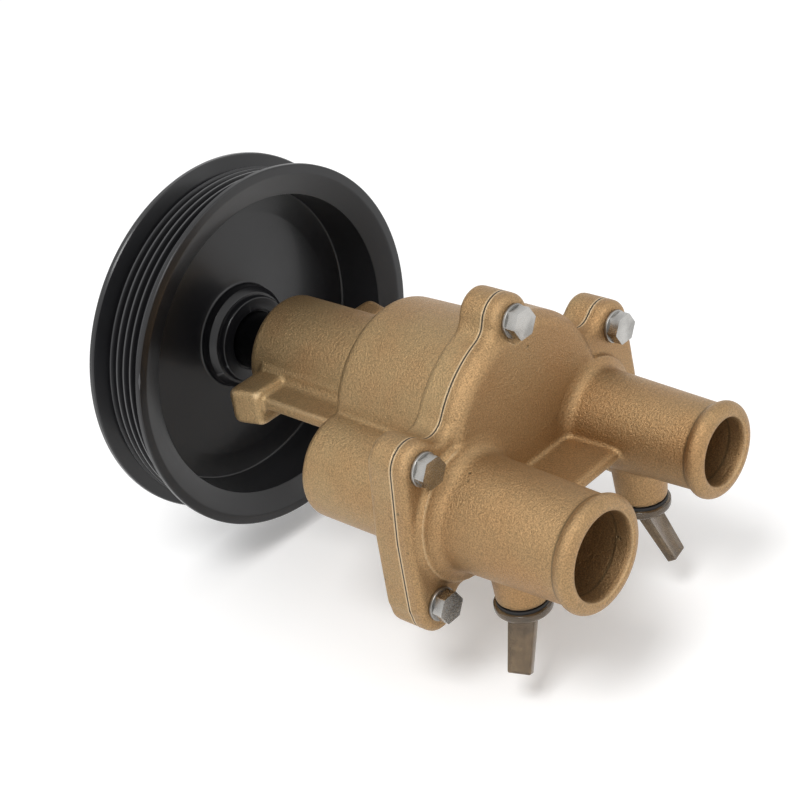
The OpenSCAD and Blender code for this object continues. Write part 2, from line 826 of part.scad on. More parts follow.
module seal_retainer() {
    color("#8d9094") ring(shaft_r, seal_case_r, retainer_y - retainer_w, retainer_y);
}

// Coil spring between the seal's case and its retainer, one unbroken wire
module seal_spring() {
    count = spring_turns * spring_steps;
    low = retainer_y + spring_wire_r + seat_gap;
    high = bellows_y - spring_wire_r - seat_gap;
    points = [for (i = [0 : count], j = [0 : spring_sides - 1])
        let (a = 360 * i / spring_steps, b = 360 * j / spring_sides,
            r = spring_r + spring_wire_r * cos(b), y = low + (high - low) * i / count)
        [r * cos(a), y + spring_wire_r * sin(b), r * sin(a)]];
    sides = [for (i = [0 : count - 1], j = [0 : spring_sides - 1])
        let (k = (j + 1) % spring_sides, p = i * spring_sides, q = p + spring_sides)
        [p + j, q + j, q + k, p + k]];
    first_end = [for (j = [0 : spring_sides - 1]) j];
    last_end = [for (j = [spring_sides - 1 : -1 : 0]) count * spring_sides + j];
    color("#b9bbbd") polyhedron(points, concat(sides, [first_end, last_end]), convexity = spring_turns);
}

module shaft() {
    color("#1d1e20") difference() {
        turned([[0, shaft_end_y], [drive_r - shaft_edge, shaft_end_y],
            [drive_r, shaft_end_y + shaft_edge], [drive_r, impeller_back_y],
            [shaft_r, impeller_back_y], [shaft_r, shaft_shoulder_end_y],
            [shoulder_r, shaft_shoulder_end_y], [shoulder_r, hub_y + hub_counterbore],
            [shaft_r, hub_y + hub_counterbore], [shaft_r, pulley_back_y - shaft_edge],
            [shaft_r - shaft_edge, pulley_back_y], [0, pulley_back_y]]);
        bar(center_r, pulley_back_y - center_depth, pulley_back_y + overrun);
        translate([-key_w / 2, key_y - key_len / 2, drive_r - key_sunk])
            cube([key_w, key_len, drive_r]);
    }
}

module impeller_key() {
    color("#9a9da1") translate([-key_w / 2 + seat_gap, key_y - key_len / 2 + seat_gap, drive_r - key_sunk])
        cube([key_w - 2 * seat_gap, key_len - 2 * seat_gap, key_h]);
}

module impeller_bushing() {
    color("#b5935a") difference() {
        ring(drive_r, bushing_r, impeller_front_y, impeller_back_y);
        translate([-key_w / 2, impeller_front_y - overrun, 0])
            cube([key_w, impeller_w + 2 * overrun, drive_r - key_sunk + key_h + seat_gap]);
    }
}

// Middle line of a vane that leaves the hub straight and bends evenly along its length
function spine(share, bend) = bend == 0 ? [share * vane_len, 0]
    : vane_len / (bend * degree) * [sin(bend * share), 1 - cos(bend * share)];

// How far from the shaft's axis the middle of a bent vane's tip lies
function reach(bend) = norm(spine(1, bend) + [hub_r, 0]);

// Halves the range of bends until the tip's reach matches
function bend_for(target, low, high, steps) = let (middle = (low + high) / 2)
    steps == 0 ? middle
    : reach(middle) > target ? bend_for(target, middle, high, steps - 1)
    : bend_for(target, low, middle, steps - 1);

// One vane with its rounded tip, its root sunk into the hub
module vane(bend) {
    half = vane_thick / 2;
    sink = (hub_r - bushing_r) / 2;
    near = [for (i = [0 : vane_steps]) let (s = i / vane_steps, a = bend * s)
        spine(s, bend) + half * [-sin(a), cos(a)]];
    far = [for (i = [vane_steps : -1 : 0]) let (s = i / vane_steps, a = bend * s)
        spine(s, bend) - half * [-sin(a), cos(a)]];
    slab(impeller_front_y, impeller_back_y) translate([hub_r, 0])
        polygon(concat([[-sink, half]], near, far, [[-sink, -half]]));
    plate([hub_r, 0] + spine(1, bend), tip_r, impeller_front_y, impeller_back_y);
}

// Rubber impeller: the vane that stands over the cam is bent to fit under it
module impeller() {
    cam_bend = bend_for(cam_reach, 0, max_bend, solve_steps);
    color("#232426") difference() {
        union() {
            bar(hub_r, impeller_front_y, impeller_back_y);
            for (i = [0 : vane_count - 1])
                rotate([0, 90 - i * 360 / vane_count, 0]) vane(i == 0 ? cam_bend : 0);
        }
        bar(bushing_r, impeller_front_y - overrun, impeller_back_y + overrun);
    }
}

module belt_groove(mid) {
    polygon([[belt_rib_r + overrun, mid - groove_top_w / 2 - overrun * tan(groove_half_angle)],
        [belt_rib_r - groove_depth, mid - groove_floor_w / 2],
        [belt_rib_r - groove_depth, mid + groove_floor_w / 2],
        [belt_rib_r + overrun, mid + groove_top_w / 2 + overrun * tan(groove_half_angle)]]);
}

module pulley() {
    color("#17181a") rotate([-90, 0, 0]) rotate_extrude() difference() {
        polygon([[shaft_r, hub_y + hub_counterbore], [hub_bore_lip_r, hub_y + hub_counterbore],
            [hub_bore_lip_r, hub_y], [hub_step_r - hub_face_edge, hub_y],
            [hub_step_r, hub_y + hub_face_edge], [hub_cone_r, hub_y + hub_step],
            [pulley_hub_r, hub_y + hub_step + hub_chamfer], [pulley_hub_r, web_y],
            [web_flat_r, web_y], [rim_inner_r, web_y + web_dish],
            [rim_inner_r, pulley_y + rim_lip], [rim_bevel_r, pulley_y],
            [pulley_r - rim_edge, pulley_y], [pulley_r, pulley_y + rim_edge],
            [pulley_r, pulley_back_y - rim_edge], [pulley_r - rim_edge, pulley_back_y],
            [rim_inner_r + web_dish, pulley_back_y], [rim_inner_r, web_back_y],
            [pulley_hub_r, web_back_y], [pulley_hub_r - web_recess, pulley_back_y],
            [shaft_r, pulley_back_y]]);
        for (i = [0 : groove_count - 1])
            belt_groove(pulley_y + groove_lead + (i + groove_start_share) * groove_pitch);
        polygon([[belt_rib_r, pulley_y + groove_lead],
            [pulley_r + overrun, pulley_y + groove_lead - flange_slope],
            [pulley_r + overrun, pulley_back_y - groove_lead + flange_slope],
            [belt_rib_r, pulley_back_y - groove_lead]]);
    }
}

// Drain plug about its own axis: stem, collar and a flat handle that leans over
module drain_plug(side, turn) {
    color("#5a4a38") translate([side * port_x, drain_y, 0]) {
        post(plug_stem_r, plug_stem_r, plug_ring_z, plug_ring_z + plug_stem_len);
        rotate_extrude() polygon(concat([[0, plug_ring_z], [0, plug_bottom_z]],
            arc([plug_collar_r - plug_collar_edge, plug_bottom_z + plug_collar_edge],
                plug_collar_edge, -90, 0), [[plug_collar_r, plug_ring_z]]));
        rotate([0, 0, turn]) translate([0, 0, plug_bottom_z + plug_collar_h / 2]) rotate([0, -plug_lean, 0])
            translate([-plug_handle_thick / 2, 0, 0]) rotate([0, 90, 0])
            linear_extrude(plug_handle_thick) polygon([[0, -plug_root_w / 2],
                [plug_handle_len, -plug_handle_w / 2], [plug_handle_len, plug_handle_w / 2],
                [0, plug_root_w / 2]]);
    }
}

module drain_ring(side) {
    color("#17181a") translate([side * port_x, drain_y, 0]) difference() {
        post(drain_boss_r, drain_boss_r, plug_ring_z, -drain_drop);
        post(plug_hole_r, plug_hole_r, plug_ring_z - overrun, -drain_drop + overrun);
    }
}

module left_drain_plug() {
    drain_plug(-1, left_plug_turn);
}

module right_drain_plug() {
    drain_plug(1, right_plug_turn);
}

module left_drain_ring() {
    drain_ring(-1);
}

module right_drain_ring() {
    drain_ring(1);
}

pump_body();
seal_housing();
bearing_housing();
cover();
cover_gasket();
cover_bolts();
bolt_washers();
cam();
cam_screw();
wear_plate();
dust_seal();
retaining_ring();
front_outer_ring();
rear_outer_ring();
bearing_shields();
seal_seat();
pulley();
shaft();
front_inner_ring();
rear_inner_ring();
bearing_spacer();
slinger();
seal_face();
seal_head();
seal_spring();
seal_retainer();
impeller_bushing();
impeller();
impeller_key();
front_balls();
front_cage();
rear_balls();
rear_cage();
left_drain_plug();
left_drain_ring();
right_drain_plug();
right_drain_ring();
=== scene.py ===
"""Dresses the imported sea-water pump: cast bronze housing, belt pulley, bolts and drain plugs."""
import json
import math

import bmesh
import bpy
from bpy.props import FloatProperty, FloatVectorProperty, IntProperty, PointerProperty
from mathutils import Matrix, Vector


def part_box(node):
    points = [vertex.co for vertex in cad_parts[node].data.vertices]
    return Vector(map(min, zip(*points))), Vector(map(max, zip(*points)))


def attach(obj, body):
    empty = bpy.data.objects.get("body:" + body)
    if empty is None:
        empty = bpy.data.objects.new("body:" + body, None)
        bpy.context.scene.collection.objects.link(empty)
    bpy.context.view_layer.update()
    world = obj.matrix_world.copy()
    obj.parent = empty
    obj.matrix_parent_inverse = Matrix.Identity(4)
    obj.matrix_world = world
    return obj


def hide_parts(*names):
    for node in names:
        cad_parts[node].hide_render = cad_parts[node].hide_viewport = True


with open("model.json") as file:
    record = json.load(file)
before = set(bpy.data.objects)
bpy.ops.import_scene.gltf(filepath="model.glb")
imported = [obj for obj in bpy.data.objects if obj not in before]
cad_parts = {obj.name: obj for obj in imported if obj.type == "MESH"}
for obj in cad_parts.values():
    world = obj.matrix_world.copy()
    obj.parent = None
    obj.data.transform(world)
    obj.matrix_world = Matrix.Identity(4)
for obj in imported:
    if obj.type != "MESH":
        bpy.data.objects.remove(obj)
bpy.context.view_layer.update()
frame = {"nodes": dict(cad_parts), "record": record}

bl_info = {
    "name": "Sea-water pump dresser",
    "version": (1, 0, 0),
    "blender": (4, 5, 0),
    "location": "3D View > Sidebar > Pump",
    "description": "Builds the finished pieces of a flexible impeller pump round its CAD frame",
    "category": "Object",
}

MM = 0.001


# Places read from the frame

def node_low(name, axis):
    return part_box(name)[0][axis]


def node_high(name, axis):
    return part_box(name)[1][axis]


BODY_BACK = -48.9 * MM
PARTING = node_low("pump_body", 1)
GASKET_FRONT = node_low("cover_gasket", 1)
RIM_FACE = node_high("bolt_washers", 1)
WASHER_FACE = node_low("bolt_washers", 1)
HEAD_TOP = node_low("cover_bolts", 1)
MOUTH = node_low("cover", 1)
SNOUT_END = node_high("bearing_housing", 1)
PULLEY_NEAR = node_low("pulley", 1)
PULLEY_FAR = node_high("pulley", 1)


# Sizes and colours that a user would change

def size(name, text, millimetres):
    return FloatProperty(name=name, description=text, default=millimetres * MM, unit="LENGTH")


def tint(name, text, colour):
    return FloatVectorProperty(name=name, description=text, default=colour, size=3,
                               subtype="COLOR", min=0.0, max=1.0)


class CastingSizes(bpy.types.PropertyGroup):
    voxel: size("Voxel", "Grid that the cast shapes are fused on", 0.75)
    plate_round: size("Plate edge", "Rounding of the cover's rim and lugs", 2.6)
    back_round: size("Flange back edge", "Rounding of the flange's rear edge", 1.4)
    lug_r: size("Lug radius", "Radius of the lugs round the bolts", 9.0)
    flange_r: size("Flange radius", "Radius of the round part of the flange", 40.1)
    port_x: size("Port offset", "Distance of a port's axis from the middle", 34.4)
    port_drop: size("Port drop", "Depth of the ports' axes below the shaft", 13.2)
    smooth_turns: IntProperty(name="Smoothing", description="Passes that soften the cast edges",
                              default=5, min=0)


class PulleySizes(bpy.types.PropertyGroup):
    outer_r: size("Outer radius", "Radius over the belt ridges", 70.0)
    groove_pitch: size("Groove pitch", "Distance from one groove to the next", 3.56)
    groove_depth: size("Groove depth", "Depth of a groove", 2.6)
    belt_recess: size("Belt recess", "Depth of the belt ridges below the flanges", 4.2)
    groove_count: IntProperty(name="Grooves", description="Number of belt grooves", default=6, min=1)


class FinishColours(bpy.types.PropertyGroup):
    bronze: tint("Bronze", "Main colour of the cast bronze", (0.385, 0.235, 0.112))
    bronze_olive: tint("Olive bronze", "Paler, greener colour of the barrel", (0.42, 0.315, 0.165))
    bronze_stain: tint("Stained bronze", "Warm colour of the stains", (0.4, 0.2, 0.075))
    # Bright colour of the edges: partly wear, partly a painted highlight.
    bronze_wear_and_highlight: tint("Worn bronze", "Bright colour of the worn edges", (0.86, 0.66, 0.42))
    enamel: tint("Pulley black", "Colour of the pulley's coating", (0.006, 0.006, 0.007))
    stainless: tint("Stainless", "Colour of the bolts", (0.47, 0.46, 0.44))
    smoke: tint("Smoke brown", "Colour of the drain plugs", (0.16, 0.11, 0.06))


def sizes():
    return bpy.context.scene.pump_casting


# Shader maths on sockets

class Value:
    """A socket of a material's node tree with the arithmetic operators on it."""

    def __init__(self, graph, socket):
        self.graph = graph
        self.socket = socket

    def _math(self, operation, left, right=None):
        inputs = {0: left}
        if right is not None:
            inputs[1] = right
        return self.graph.node("ShaderNodeMath", {"operation": operation}, inputs)

    def __add__(self, other):
        return self._math("ADD", self, other)

    def __radd__(self, other):
        return self._math("ADD", other, self)

    def __sub__(self, other):
        return self._math("SUBTRACT", self, other)

    def __rsub__(self, other):
        return self._math("SUBTRACT", other, self)

    def __mul__(self, other):
        return self._math("MULTIPLY", self, other)

    def __rmul__(self, other):
        return self._math("MULTIPLY", other, self)

    def clamp(self):
        return self.graph.node("ShaderNodeClamp", {}, {"Value": self})

    def smoothstep(self, low, high):
        return self.graph.node("ShaderNodeMapRange", {"interpolation_type": "SMOOTHSTEP"},
                               {"Value": self, "From Min": low, "From Max": high})


class Graph:
    """The node tree of a material or a world."""

    def __init__(self, owner):
        owner.use_nodes = True
        self.owner = owner
        self.tree = owner.node_tree

    def node(self, kind, settings, inputs, output=0):
        made = self.tree.nodes.new(kind)
        for key, value in settings.items():
            setattr(made, key, value)
        for key, value in inputs.items():
            self.feed(made.inputs[key], value)
        return Value(self, made.outputs[output])

    def feed(self, socket, value):
        if isinstance(value, Value):
            self.tree.links.new(value.socket, socket)
        else:
            socket.default_value = value

    def place(self, stretch=(1.0, 1.0, 1.0)):
        coords = self.node("ShaderNodeTexCoord", {}, {}, "Object")
        return self.node("ShaderNodeMapping", {}, {"Vector": coords, "Scale": stretch})

    def noise(self, vector, scale, detail=4.0, roughness=0.55):
        return self.node("ShaderNodeTexNoise", {}, {"Vector": vector, "Scale": scale,
                         "Detail": detail, "Roughness": roughness})

    def cells(self, vector, scale, output="Distance"):
        return self.node("ShaderNodeTexVoronoi", {}, {"Vector": vector, "Scale": scale}, output)

    def mix(self, factor, first, second):
        def colour(value):
            return value if isinstance(value, Value) else (*value, 1.0)
        return self.node("ShaderNodeMix", {"data_type": "RGBA"},
                         {0: factor, 6: colour(first), 7: colour(second)}, 2)

    def off_place(self, vector, place):
        """Distance of a point from a plane across the shaft."""
        along = self.node("ShaderNodeSeparateXYZ", {}, {"Vector": vector}, "Y")
        return self.node("ShaderNodeMath", {"operation": "ABSOLUTE"}, {0: along - place})

    def bump(self, height, strength, distance):
        return self.node("ShaderNodeBump", {}, {"Height": height, "Strength": strength,
                         "Distance": distance})

    def showing_rays(self):
        """Marks the rays that show the background: seen, mirrored or looked at through plastic."""
        found = self.node("ShaderNodeLightPath", {}, {}, "Is Camera Ray")
        for kind in ("Is Glossy Ray", "Is Transmission Ray"):
            ray = self.node("ShaderNodeLightPath", {}, {}, kind)
            found = self.node("ShaderNodeMath", {"operation": "MAXIMUM"}, {0: found, 1: ray})
        return found

    def finish(self, **inputs):
        """Feeds the Principled shader and returns the finished material."""
        for key, value in inputs.items():
            socket = self.tree.nodes["Principled BSDF"].inputs[key.replace("_", " ")]
            if isinstance(value, tuple) and len(value) == 3:
                value = (*value, 1.0)
            self.feed(socket, value)
        return self.owner


def new_finish(name):
    return Graph(bpy.data.materials.new(name))


def colours():
    return bpy.context.scene.pump_colours


def cast_bronze(name, warm, shaded_creases=()):
    """Sand-cast bronze: grainy skin, cloudy tone, dark pits, a dark joint line, bright edges and joint rims
    that are partly wear and partly a painted highlight, and painted shade in hollows and creases.
    """
    c = colours()
    g = new_finish(name)
    spot = g.place()
    cloud = g.noise(spot, 38.0, 5.0)
    grain = g.noise(spot, 1900.0, 3.0, 0.7)
    crumb = g.noise(spot, 1000.0, 4.0, 0.7)
    pits = g.cells(spot, 300.0).smoothstep(0.1, 0.22)
    pit_zone = g.noise(spot, 55.0, 2.0).smoothstep(0.62, 0.72)
    pitting = 1.0 - (1.0 - pits) * pit_zone
    # Sharp edges and the rims beside the joint are painted bright: partly wear, partly a painted highlight.
    edge = g.node("ShaderNodeNewGeometry", {}, {}, "Pointiness").smoothstep(0.515, 0.56)
    # Concave places are darkened: painted shade in the hollows.
    painted_hollow_shade = 1.0 - g.node("ShaderNodeNewGeometry", {}, {}, "Pointiness").smoothstep(0.42, 0.5)
    tone = g.mix(cloud.smoothstep(0.35, 0.65), tuple(c.bronze_olive), tuple(c.bronze))
    tone = g.mix(warm, tone, tuple(c.bronze))
    tone = g.mix(g.noise(spot, 24.0, 3.0).smoothstep(0.5, 0.68) * 0.45, tone, tuple(c.bronze_stain))
    dark = tuple(0.35 * v for v in c.bronze_olive)
    light = tuple(min(1.0, 1.55 * v) for v in c.bronze)
    tone = g.mix(grain.smoothstep(0.36, 0.66) * 0.85, g.mix(0.5, tone, dark), g.mix(0.5, tone, light))
    # Painted shade in the hollows.
    tone = g.mix(painted_hollow_shade * 0.35, tone, dark)
    tone = g.mix(1.0 - pitting, tone, dark)
    off_joint = g.off_place(spot, (PARTING + GASKET_FRONT) / 2)
    edge = (edge + (1.0 - off_joint.smoothstep(0.6 * MM, 1.1 * MM)) * 0.7).clamp()
    tone = g.mix((edge * (0.35 + crumb * 0.7)).clamp(), tone, tuple(c.bronze_wear_and_highlight))
    tone = g.mix((1.0 - off_joint.smoothstep(0.25 * MM, 0.5 * MM)) * 0.75, tone, dark)
    # A dark line at each crease place, such as the bead's foot: painted shade in the undercut.
    for place in shaded_creases:
        crease_shade = 1.0 - g.off_place(spot, place).smoothstep(0.15 * MM, 0.7 * MM)
        tone = g.mix(crease_shade * 0.65, tone, dark)
    height = grain * 0.45 + crumb * 0.75 + pitting * 0.5
    return g.finish(Base_Color=tone, Metallic=0.92, Roughness=(0.33 + crumb * 0.2 - edge * 0.08),
                    Normal=g.bump(height, 0.85, 0.0005))


def machined(name, colour, roughness, streak):
    """Turned or ground metal with fine tool lines and a little uneven shine."""
    g = new_finish(name)
    spot = g.place((1.0, streak, 1.0))
    lines = g.noise(spot, 900.0, 3.0)
    smear = g.noise(g.place(), 90.0, 4.0)
    tone = g.mix(smear.smoothstep(0.35, 0.65) * 0.8, colour, tuple(0.55 * v for v in colour))
    return g.finish(Base_Color=tone, Metallic=1.0, Roughness=roughness + lines * 0.14,
                    Normal=g.bump(lines + smear * 0.5, 0.25, 0.0001))


def enamel(name):
    """Glossy black coating over turned metal, with faint turning lines."""
    g = new_finish(name)
    spot = g.place((1.0, 40.0, 1.0))
    rings = g.noise(spot, 60.0, 3.0)
    dust = g.noise(g.place(), 420.0, 4.0, 0.7)
    patch = g.noise(g.place(), 24.0, 3.0)
    edge = g.node("ShaderNodeNewGeometry", {}, {}, "Pointiness").smoothstep(0.53, 0.6)
    base = tuple(colours().enamel)
    tone = g.mix(patch.smoothstep(0.4, 0.7) * 0.5, base, tuple(1.9 * v for v in base))
    tone = g.mix(edge * 0.6, tone, (0.11, 0.11, 0.115))
    return g.finish(Base_Color=tone, Metallic=0.0, Specular_IOR_Level=0.42,
                    Roughness=0.22 + rings * 0.1 + dust * 0.08, Coat_Weight=0.15, Coat_Roughness=0.12,
                    Normal=g.bump(rings * 0.4 + dust * 0.25, 0.12, 0.0001))


def rubber(name, colour):
    """Moulded black rubber with a dull, slightly dusty skin."""
    g = new_finish(name)
    skin = g.noise(g.place(), 1100.0, 3.0)
    dust = g.noise(g.place(), 130.0, 4.0).smoothstep(0.45, 0.8)
    tone = g.mix(dust * 0.4, colour, tuple(min(1.0, 2.2 * v + 0.01) for v in colour))
    return g.finish(Base_Color=tone, Roughness=0.55 + dust * 0.2, Normal=g.bump(skin, 0.2, 0.0001))


def smoke_plastic(name):
    """See-through smoke-brown plastic with a slightly wavy moulded skin."""
    g = new_finish(name)
    wave = g.noise(g.place(), 160.0, 2.0)
    fog = g.noise(g.place(), 420.0, 4.0)
    smoke = tuple(colours().smoke)
    tone = g.mix(fog.smoothstep(0.3, 0.7), smoke, tuple(1.6 * v for v in smoke))
    g.owner.use_backface_culling = False
    return g.finish(Base_Color=tone, Roughness=0.14 + fog * 0.1, Transmission_Weight=0.62, IOR=1.46,
                    Coat_Weight=0.3, Normal=g.bump(wave, 0.2, 0.0004))


def plain_skin(name, colour, roughness, scale=700.0):
    """Pressed or moulded skin with a fine grain."""
    g = new_finish(name)
    fine = g.noise(g.place(), scale, 4.0)
    broad = g.noise(g.place(), 45.0, 3.0).smoothstep(0.35, 0.7)
    tone = g.mix(broad * 0.5, colour, tuple(0.7 * v for v in colour))
    return g.finish(Base_Color=tone, Roughness=roughness + fine * 0.15, Normal=g.bump(fine, 0.15, 0.0001))


# Mesh helpers: every shape is drawn in metres, in the frame's own place

def finished(bm, name, material, body, slot_name, *nodes):
    """Turns a bmesh into a piece, as adopted does with a mesh."""
    bmesh.ops.recalc_face_normals(bm, faces=bm.faces)
    mesh = bpy.data.meshes.new(name)
    bm.to_mesh(mesh)
    bm.free()
    return adopted(mesh, name, material, body, slot_name, *nodes)


def adopted(mesh, name, material, body, slot_name, *nodes):
    """Turns a mesh into a piece that rides on a body and stands for CAD nodes."""
    mesh.name = name
    mesh.materials.clear()
    mesh.materials.append(material)
    piece = bpy.data.objects.new(name, mesh)
    bpy.context.scene.collection.objects.link(piece)
    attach(piece, body)
    if nodes:
        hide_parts(*nodes)
    return piece


def arc(center, r, start, end, steps=8):
    """Points of an arc about a centre between two directions in degrees."""
    turns = [math.radians(start + (end - start) * i / steps) for i in range(steps + 1)]
    return [(center[0] + r * math.cos(t), center[1] + r * math.sin(t)) for t in turns]


def lathe(bm, points, center=(0.0, 0.0), steps=96, axis="Y"):
    """Spins an outline of (radius, place) round an axis through a centre, as a closed shape."""
    before = set(bm.verts)
    if axis == "Y":
        spots = [(center[0] + r, y, center[1]) for r, y in points]
        middle, way = (center[0], 0.0, center[1]), (0.0, 1.0, 0.0)
    else:
        spots = [(center[0] + r, center[1], z) for r, z in points]
        middle, way = (center[0], center[1], 0.0), (0.0, 0.0, 1.0)
    verts = [bm.verts.new(p) for p in spots]
    edges = [bm.edges.new(pair) for pair in zip(verts, verts[1:])]
    bmesh.ops.spin(bm, geom=verts + edges, cent=middle, axis=way, angle=2 * math.pi, steps=steps,
                   use_merge=True)
    made = [v for v in bm.verts if v not in before]
    bmesh.ops.remove_doubles(bm, verts=made, dist=0.004 * MM)


def prism(bm, outline, low, high, low_round=0.0, high_round=0.0, segments=3, axis="Y"):
    """Extrudes an outline along Y, or one seen from above along Z, and rounds its two rims."""
    verts = [bm.verts.new((a, high, b) if axis == "Y" else (a, b, high)) for a, b in outline]
    way = (0.0, low - high, 0.0) if axis == "Y" else (0.0, 0.0, low - high)
    face = bm.faces.new(verts)
    made = bmesh.ops.extrude_face_region(bm, geom=[face])["geom"]
    moved = [v for v in made if isinstance(v, bmesh.types.BMVert)]
    far = [e for e in made if isinstance(e, bmesh.types.BMEdge)]
    bmesh.ops.translate(bm, verts=moved, vec=way)
    for edges, r in ((far, low_round), (list(face.edges), high_round)):
        if r > 0.0:
            bmesh.ops.bevel(bm, geom=edges, offset=r, offset_type="OFFSET", segments=segments,
                            profile=0.5, affect="EDGES", clamp_overlap=True, material=-1)


def fused(bm, name, voxel):
    """Fuses overlapping closed shapes into one skin on a voxel grid."""
    bmesh.ops.recalc_face_normals(bm, faces=bm.faces)
    mesh = bpy.data.meshes.new(name)
    bm.to_mesh(mesh)
    bm.free()
    raw = bpy.data.objects.new(name, mesh)
    bpy.context.scene.collection.objects.link(raw)
    remesh = raw.modifiers.new("Fuse", "REMESH")
    remesh.mode = "VOXEL"
    remesh.voxel_size = voxel
    return raw


def cut(raw, name, shapes):
    """Takes the closed shapes drawn by a function out of a raw object."""
    bm = bmesh.new()
    shapes(bm)
    bmesh.ops.recalc_face_normals(bm, faces=bm.faces)
    mesh = bpy.data.meshes.new(name)
    bm.to_mesh(mesh)
    bm.free()
    tool = bpy.data.objects.new(name, mesh)
    bpy.context.scene.collection.objects.link(tool)
    modifier = raw.modifiers.new(name, "BOOLEAN")
    modifier.operation = "DIFFERENCE"
    modifier.solver = "MANIFOLD"
    modifier.object = tool
    return tool


def settled(raw, *tools):
    """Applies a raw object's modifiers, deletes it and its tools, and returns the mesh."""
    graph = bpy.context.evaluated_depsgraph_get()
    graph.update()
    mesh = bpy.data.meshes.new_from_object(raw.evaluated_get(graph))
    for thing in (raw, *tools):
        old = thing.data
        bpy.data.objects.remove(thing)
        bpy.data.meshes.remove(old)
    return mesh


def cast_mesh(name, shapes, cuts, joint, keep_above):
    """Fuses cast shapes, cuts their bores, softens the edges and ends them flat at the joint."""
    s = sizes()
    bm = bmesh.new()
    shapes(bm)
    raw = fused(bm, name + "_raw", s.voxel)
    tool = cut(raw, name + "_bores", cuts)
    soften = raw.modifiers.new("Soften", "SMOOTH")
    soften.factor = 0.5
    soften.iterations = s.smooth_turns
    mesh = trimmed(settled(raw, tool), joint, keep_above)
    mesh.shade_smooth()
    return mesh


def trimmed(mesh, place, keep_above):
    """Cuts a mesh flat across the shaft at a place and closes the cut."""
    bm = bmesh.new()
    bm.from_mesh(mesh)
    cut_made = bmesh.ops.bisect_plane(bm, geom=bm.verts[:] + bm.edges[:] + bm.faces[:],
                                      plane_co=(0.0, place, 0.0), plane_no=(0.0, 1.0, 0.0),
                                      clear_inner=keep_above, clear_outer=not keep_above)
    rim = [e for e in cut_made["geom_cut"] if isinstance(e, bmesh.types.BMEdge)]
    bmesh.ops.triangle_fill(bm, use_beauty=True, edges=rim)
    bmesh.ops.recalc_face_normals(bm, faces=bm.faces)
    bm.to_mesh(mesh)
    bm.free()
    return mesh


def with_sharp_rims(piece, degrees=38.0):
    """Shades a piece smooth and keeps the edges that turn further than an angle sharp."""
    mesh = piece.data
    mesh.shade_smooth()
    bm = bmesh.new()
    bm.from_mesh(mesh)
    for edge in bm.edges:
        if len(edge.link_faces) == 2 and edge.calc_face_angle() > math.radians(degrees):
            edge.smooth = False
    bm.to_mesh(mesh)
    bm.free()


# The flange's outline, as on the CAD model

TOP_LUG = (0.0, 40.9 * MM)
SIDE_LUG = (52.1 * MM, 12.6 * MM)
FOOT_LUG = (54.3 * MM, -39.8 * MM)
TOE = (54.0 * MM, -42.5 * MM)
TOE_R = 8.5 * MM
PAD_R = 27.0 * MM
LUG_BLEND = 7.0 * MM
PAD_BLEND = 10.0 * MM
FOOT_BLEND = 3.0 * MM
SIDE_X = 63.3 * MM
SIDE_KNEE = -12.0 * MM


def blend_center(a, ra, b, rb, r, side):
    """Centre of a fillet that touches two circles from outside, on one side of their line."""
    ax, az = a
    dx, dz = b[0] - ax, b[1] - az
    d = math.hypot(dx, dz)
    ux, uz = dx / d, dz / d
    along = (d * d + (ra + r) ** 2 - (rb + r) ** 2) / (2 * d)
    h = side * math.sqrt((ra + r) ** 2 - along * along)
    return (ax + along * ux - h * uz, az + along * uz + h * ux)


def heading(start, end):
    """Direction from one point to another, in degrees."""
    return math.degrees(math.atan2(end[1] - start[1], end[0] - start[0]))


def short_arc(center, r, start, end, steps=8):
    """Points of an arc that goes the shorter way round."""
    return arc(center, r, start, start + (end - start + 900.0) % 360.0 - 180.0, steps)


def flange_outline():
    """The joint's outline: a round flange with five lugs blended into it."""
    s = sizes()
    hub = (0.0, 0.0)
    pad = (s.port_x, -s.port_drop)
    top_blend = blend_center(hub, s.flange_r, TOP_LUG, s.lug_r, LUG_BLEND, -1)
    side_blend = blend_center(hub, s.flange_r, SIDE_LUG, s.lug_r, LUG_BLEND, 1)
    pad_blend = blend_center(hub, s.flange_r, pad, PAD_R, PAD_BLEND, -1)
    corner_z = pad[1] - PAD_R - FOOT_BLEND
    corner = (TOE[0] - math.sqrt((TOE_R + FOOT_BLEND) ** 2 - (corner_z - TOE[1]) ** 2), corner_z)
    half = arc(TOP_LUG, s.lug_r, 90.0, heading(TOP_LUG, top_blend))
    half += short_arc(top_blend, LUG_BLEND, heading(top_blend, TOP_LUG), heading(top_blend, hub))
    half += short_arc(hub, s.flange_r, heading(hub, top_blend), heading(hub, side_blend), 12)
    half += short_arc(side_blend, LUG_BLEND, heading(side_blend, hub), heading(side_blend, SIDE_LUG))
    half += short_arc(SIDE_LUG, s.lug_r, heading(SIDE_LUG, side_blend), 0.0, 12)
    half += [(SIDE_X, SIDE_KNEE), (SIDE_X, FOOT_LUG[1])]
    toe_end = heading(TOE, corner)
    half += arc(TOE, TOE_R, 0.0, toe_end - (360.0 if toe_end > 0.0 else 0.0), 12)
    half += short_arc(corner, FOOT_BLEND, heading(corner, TOE), 90.0)
    half += short_arc(pad, PAD_R, -90.0, heading(pad, pad_blend))
    half += short_arc(pad_blend, PAD_BLEND, heading(pad_blend, pad), heading(pad_blend, hub))
    half += short_arc(hub, s.flange_r, heading(hub, pad_blend), -90.0)
    whole = half + [(-x, z) for x, z in reversed(half[1:-1])]
    kept = []
    for point in whole:
        if not kept or math.dist(point, kept[-1]) > 0.05 * MM:
            kept.append(point)
    return kept


def lug_places():
    return [TOP_LUG] + [(side * x, z) for x, z in (SIDE_LUG, FOOT_LUG) for side in (-1, 1)]


# Pump body

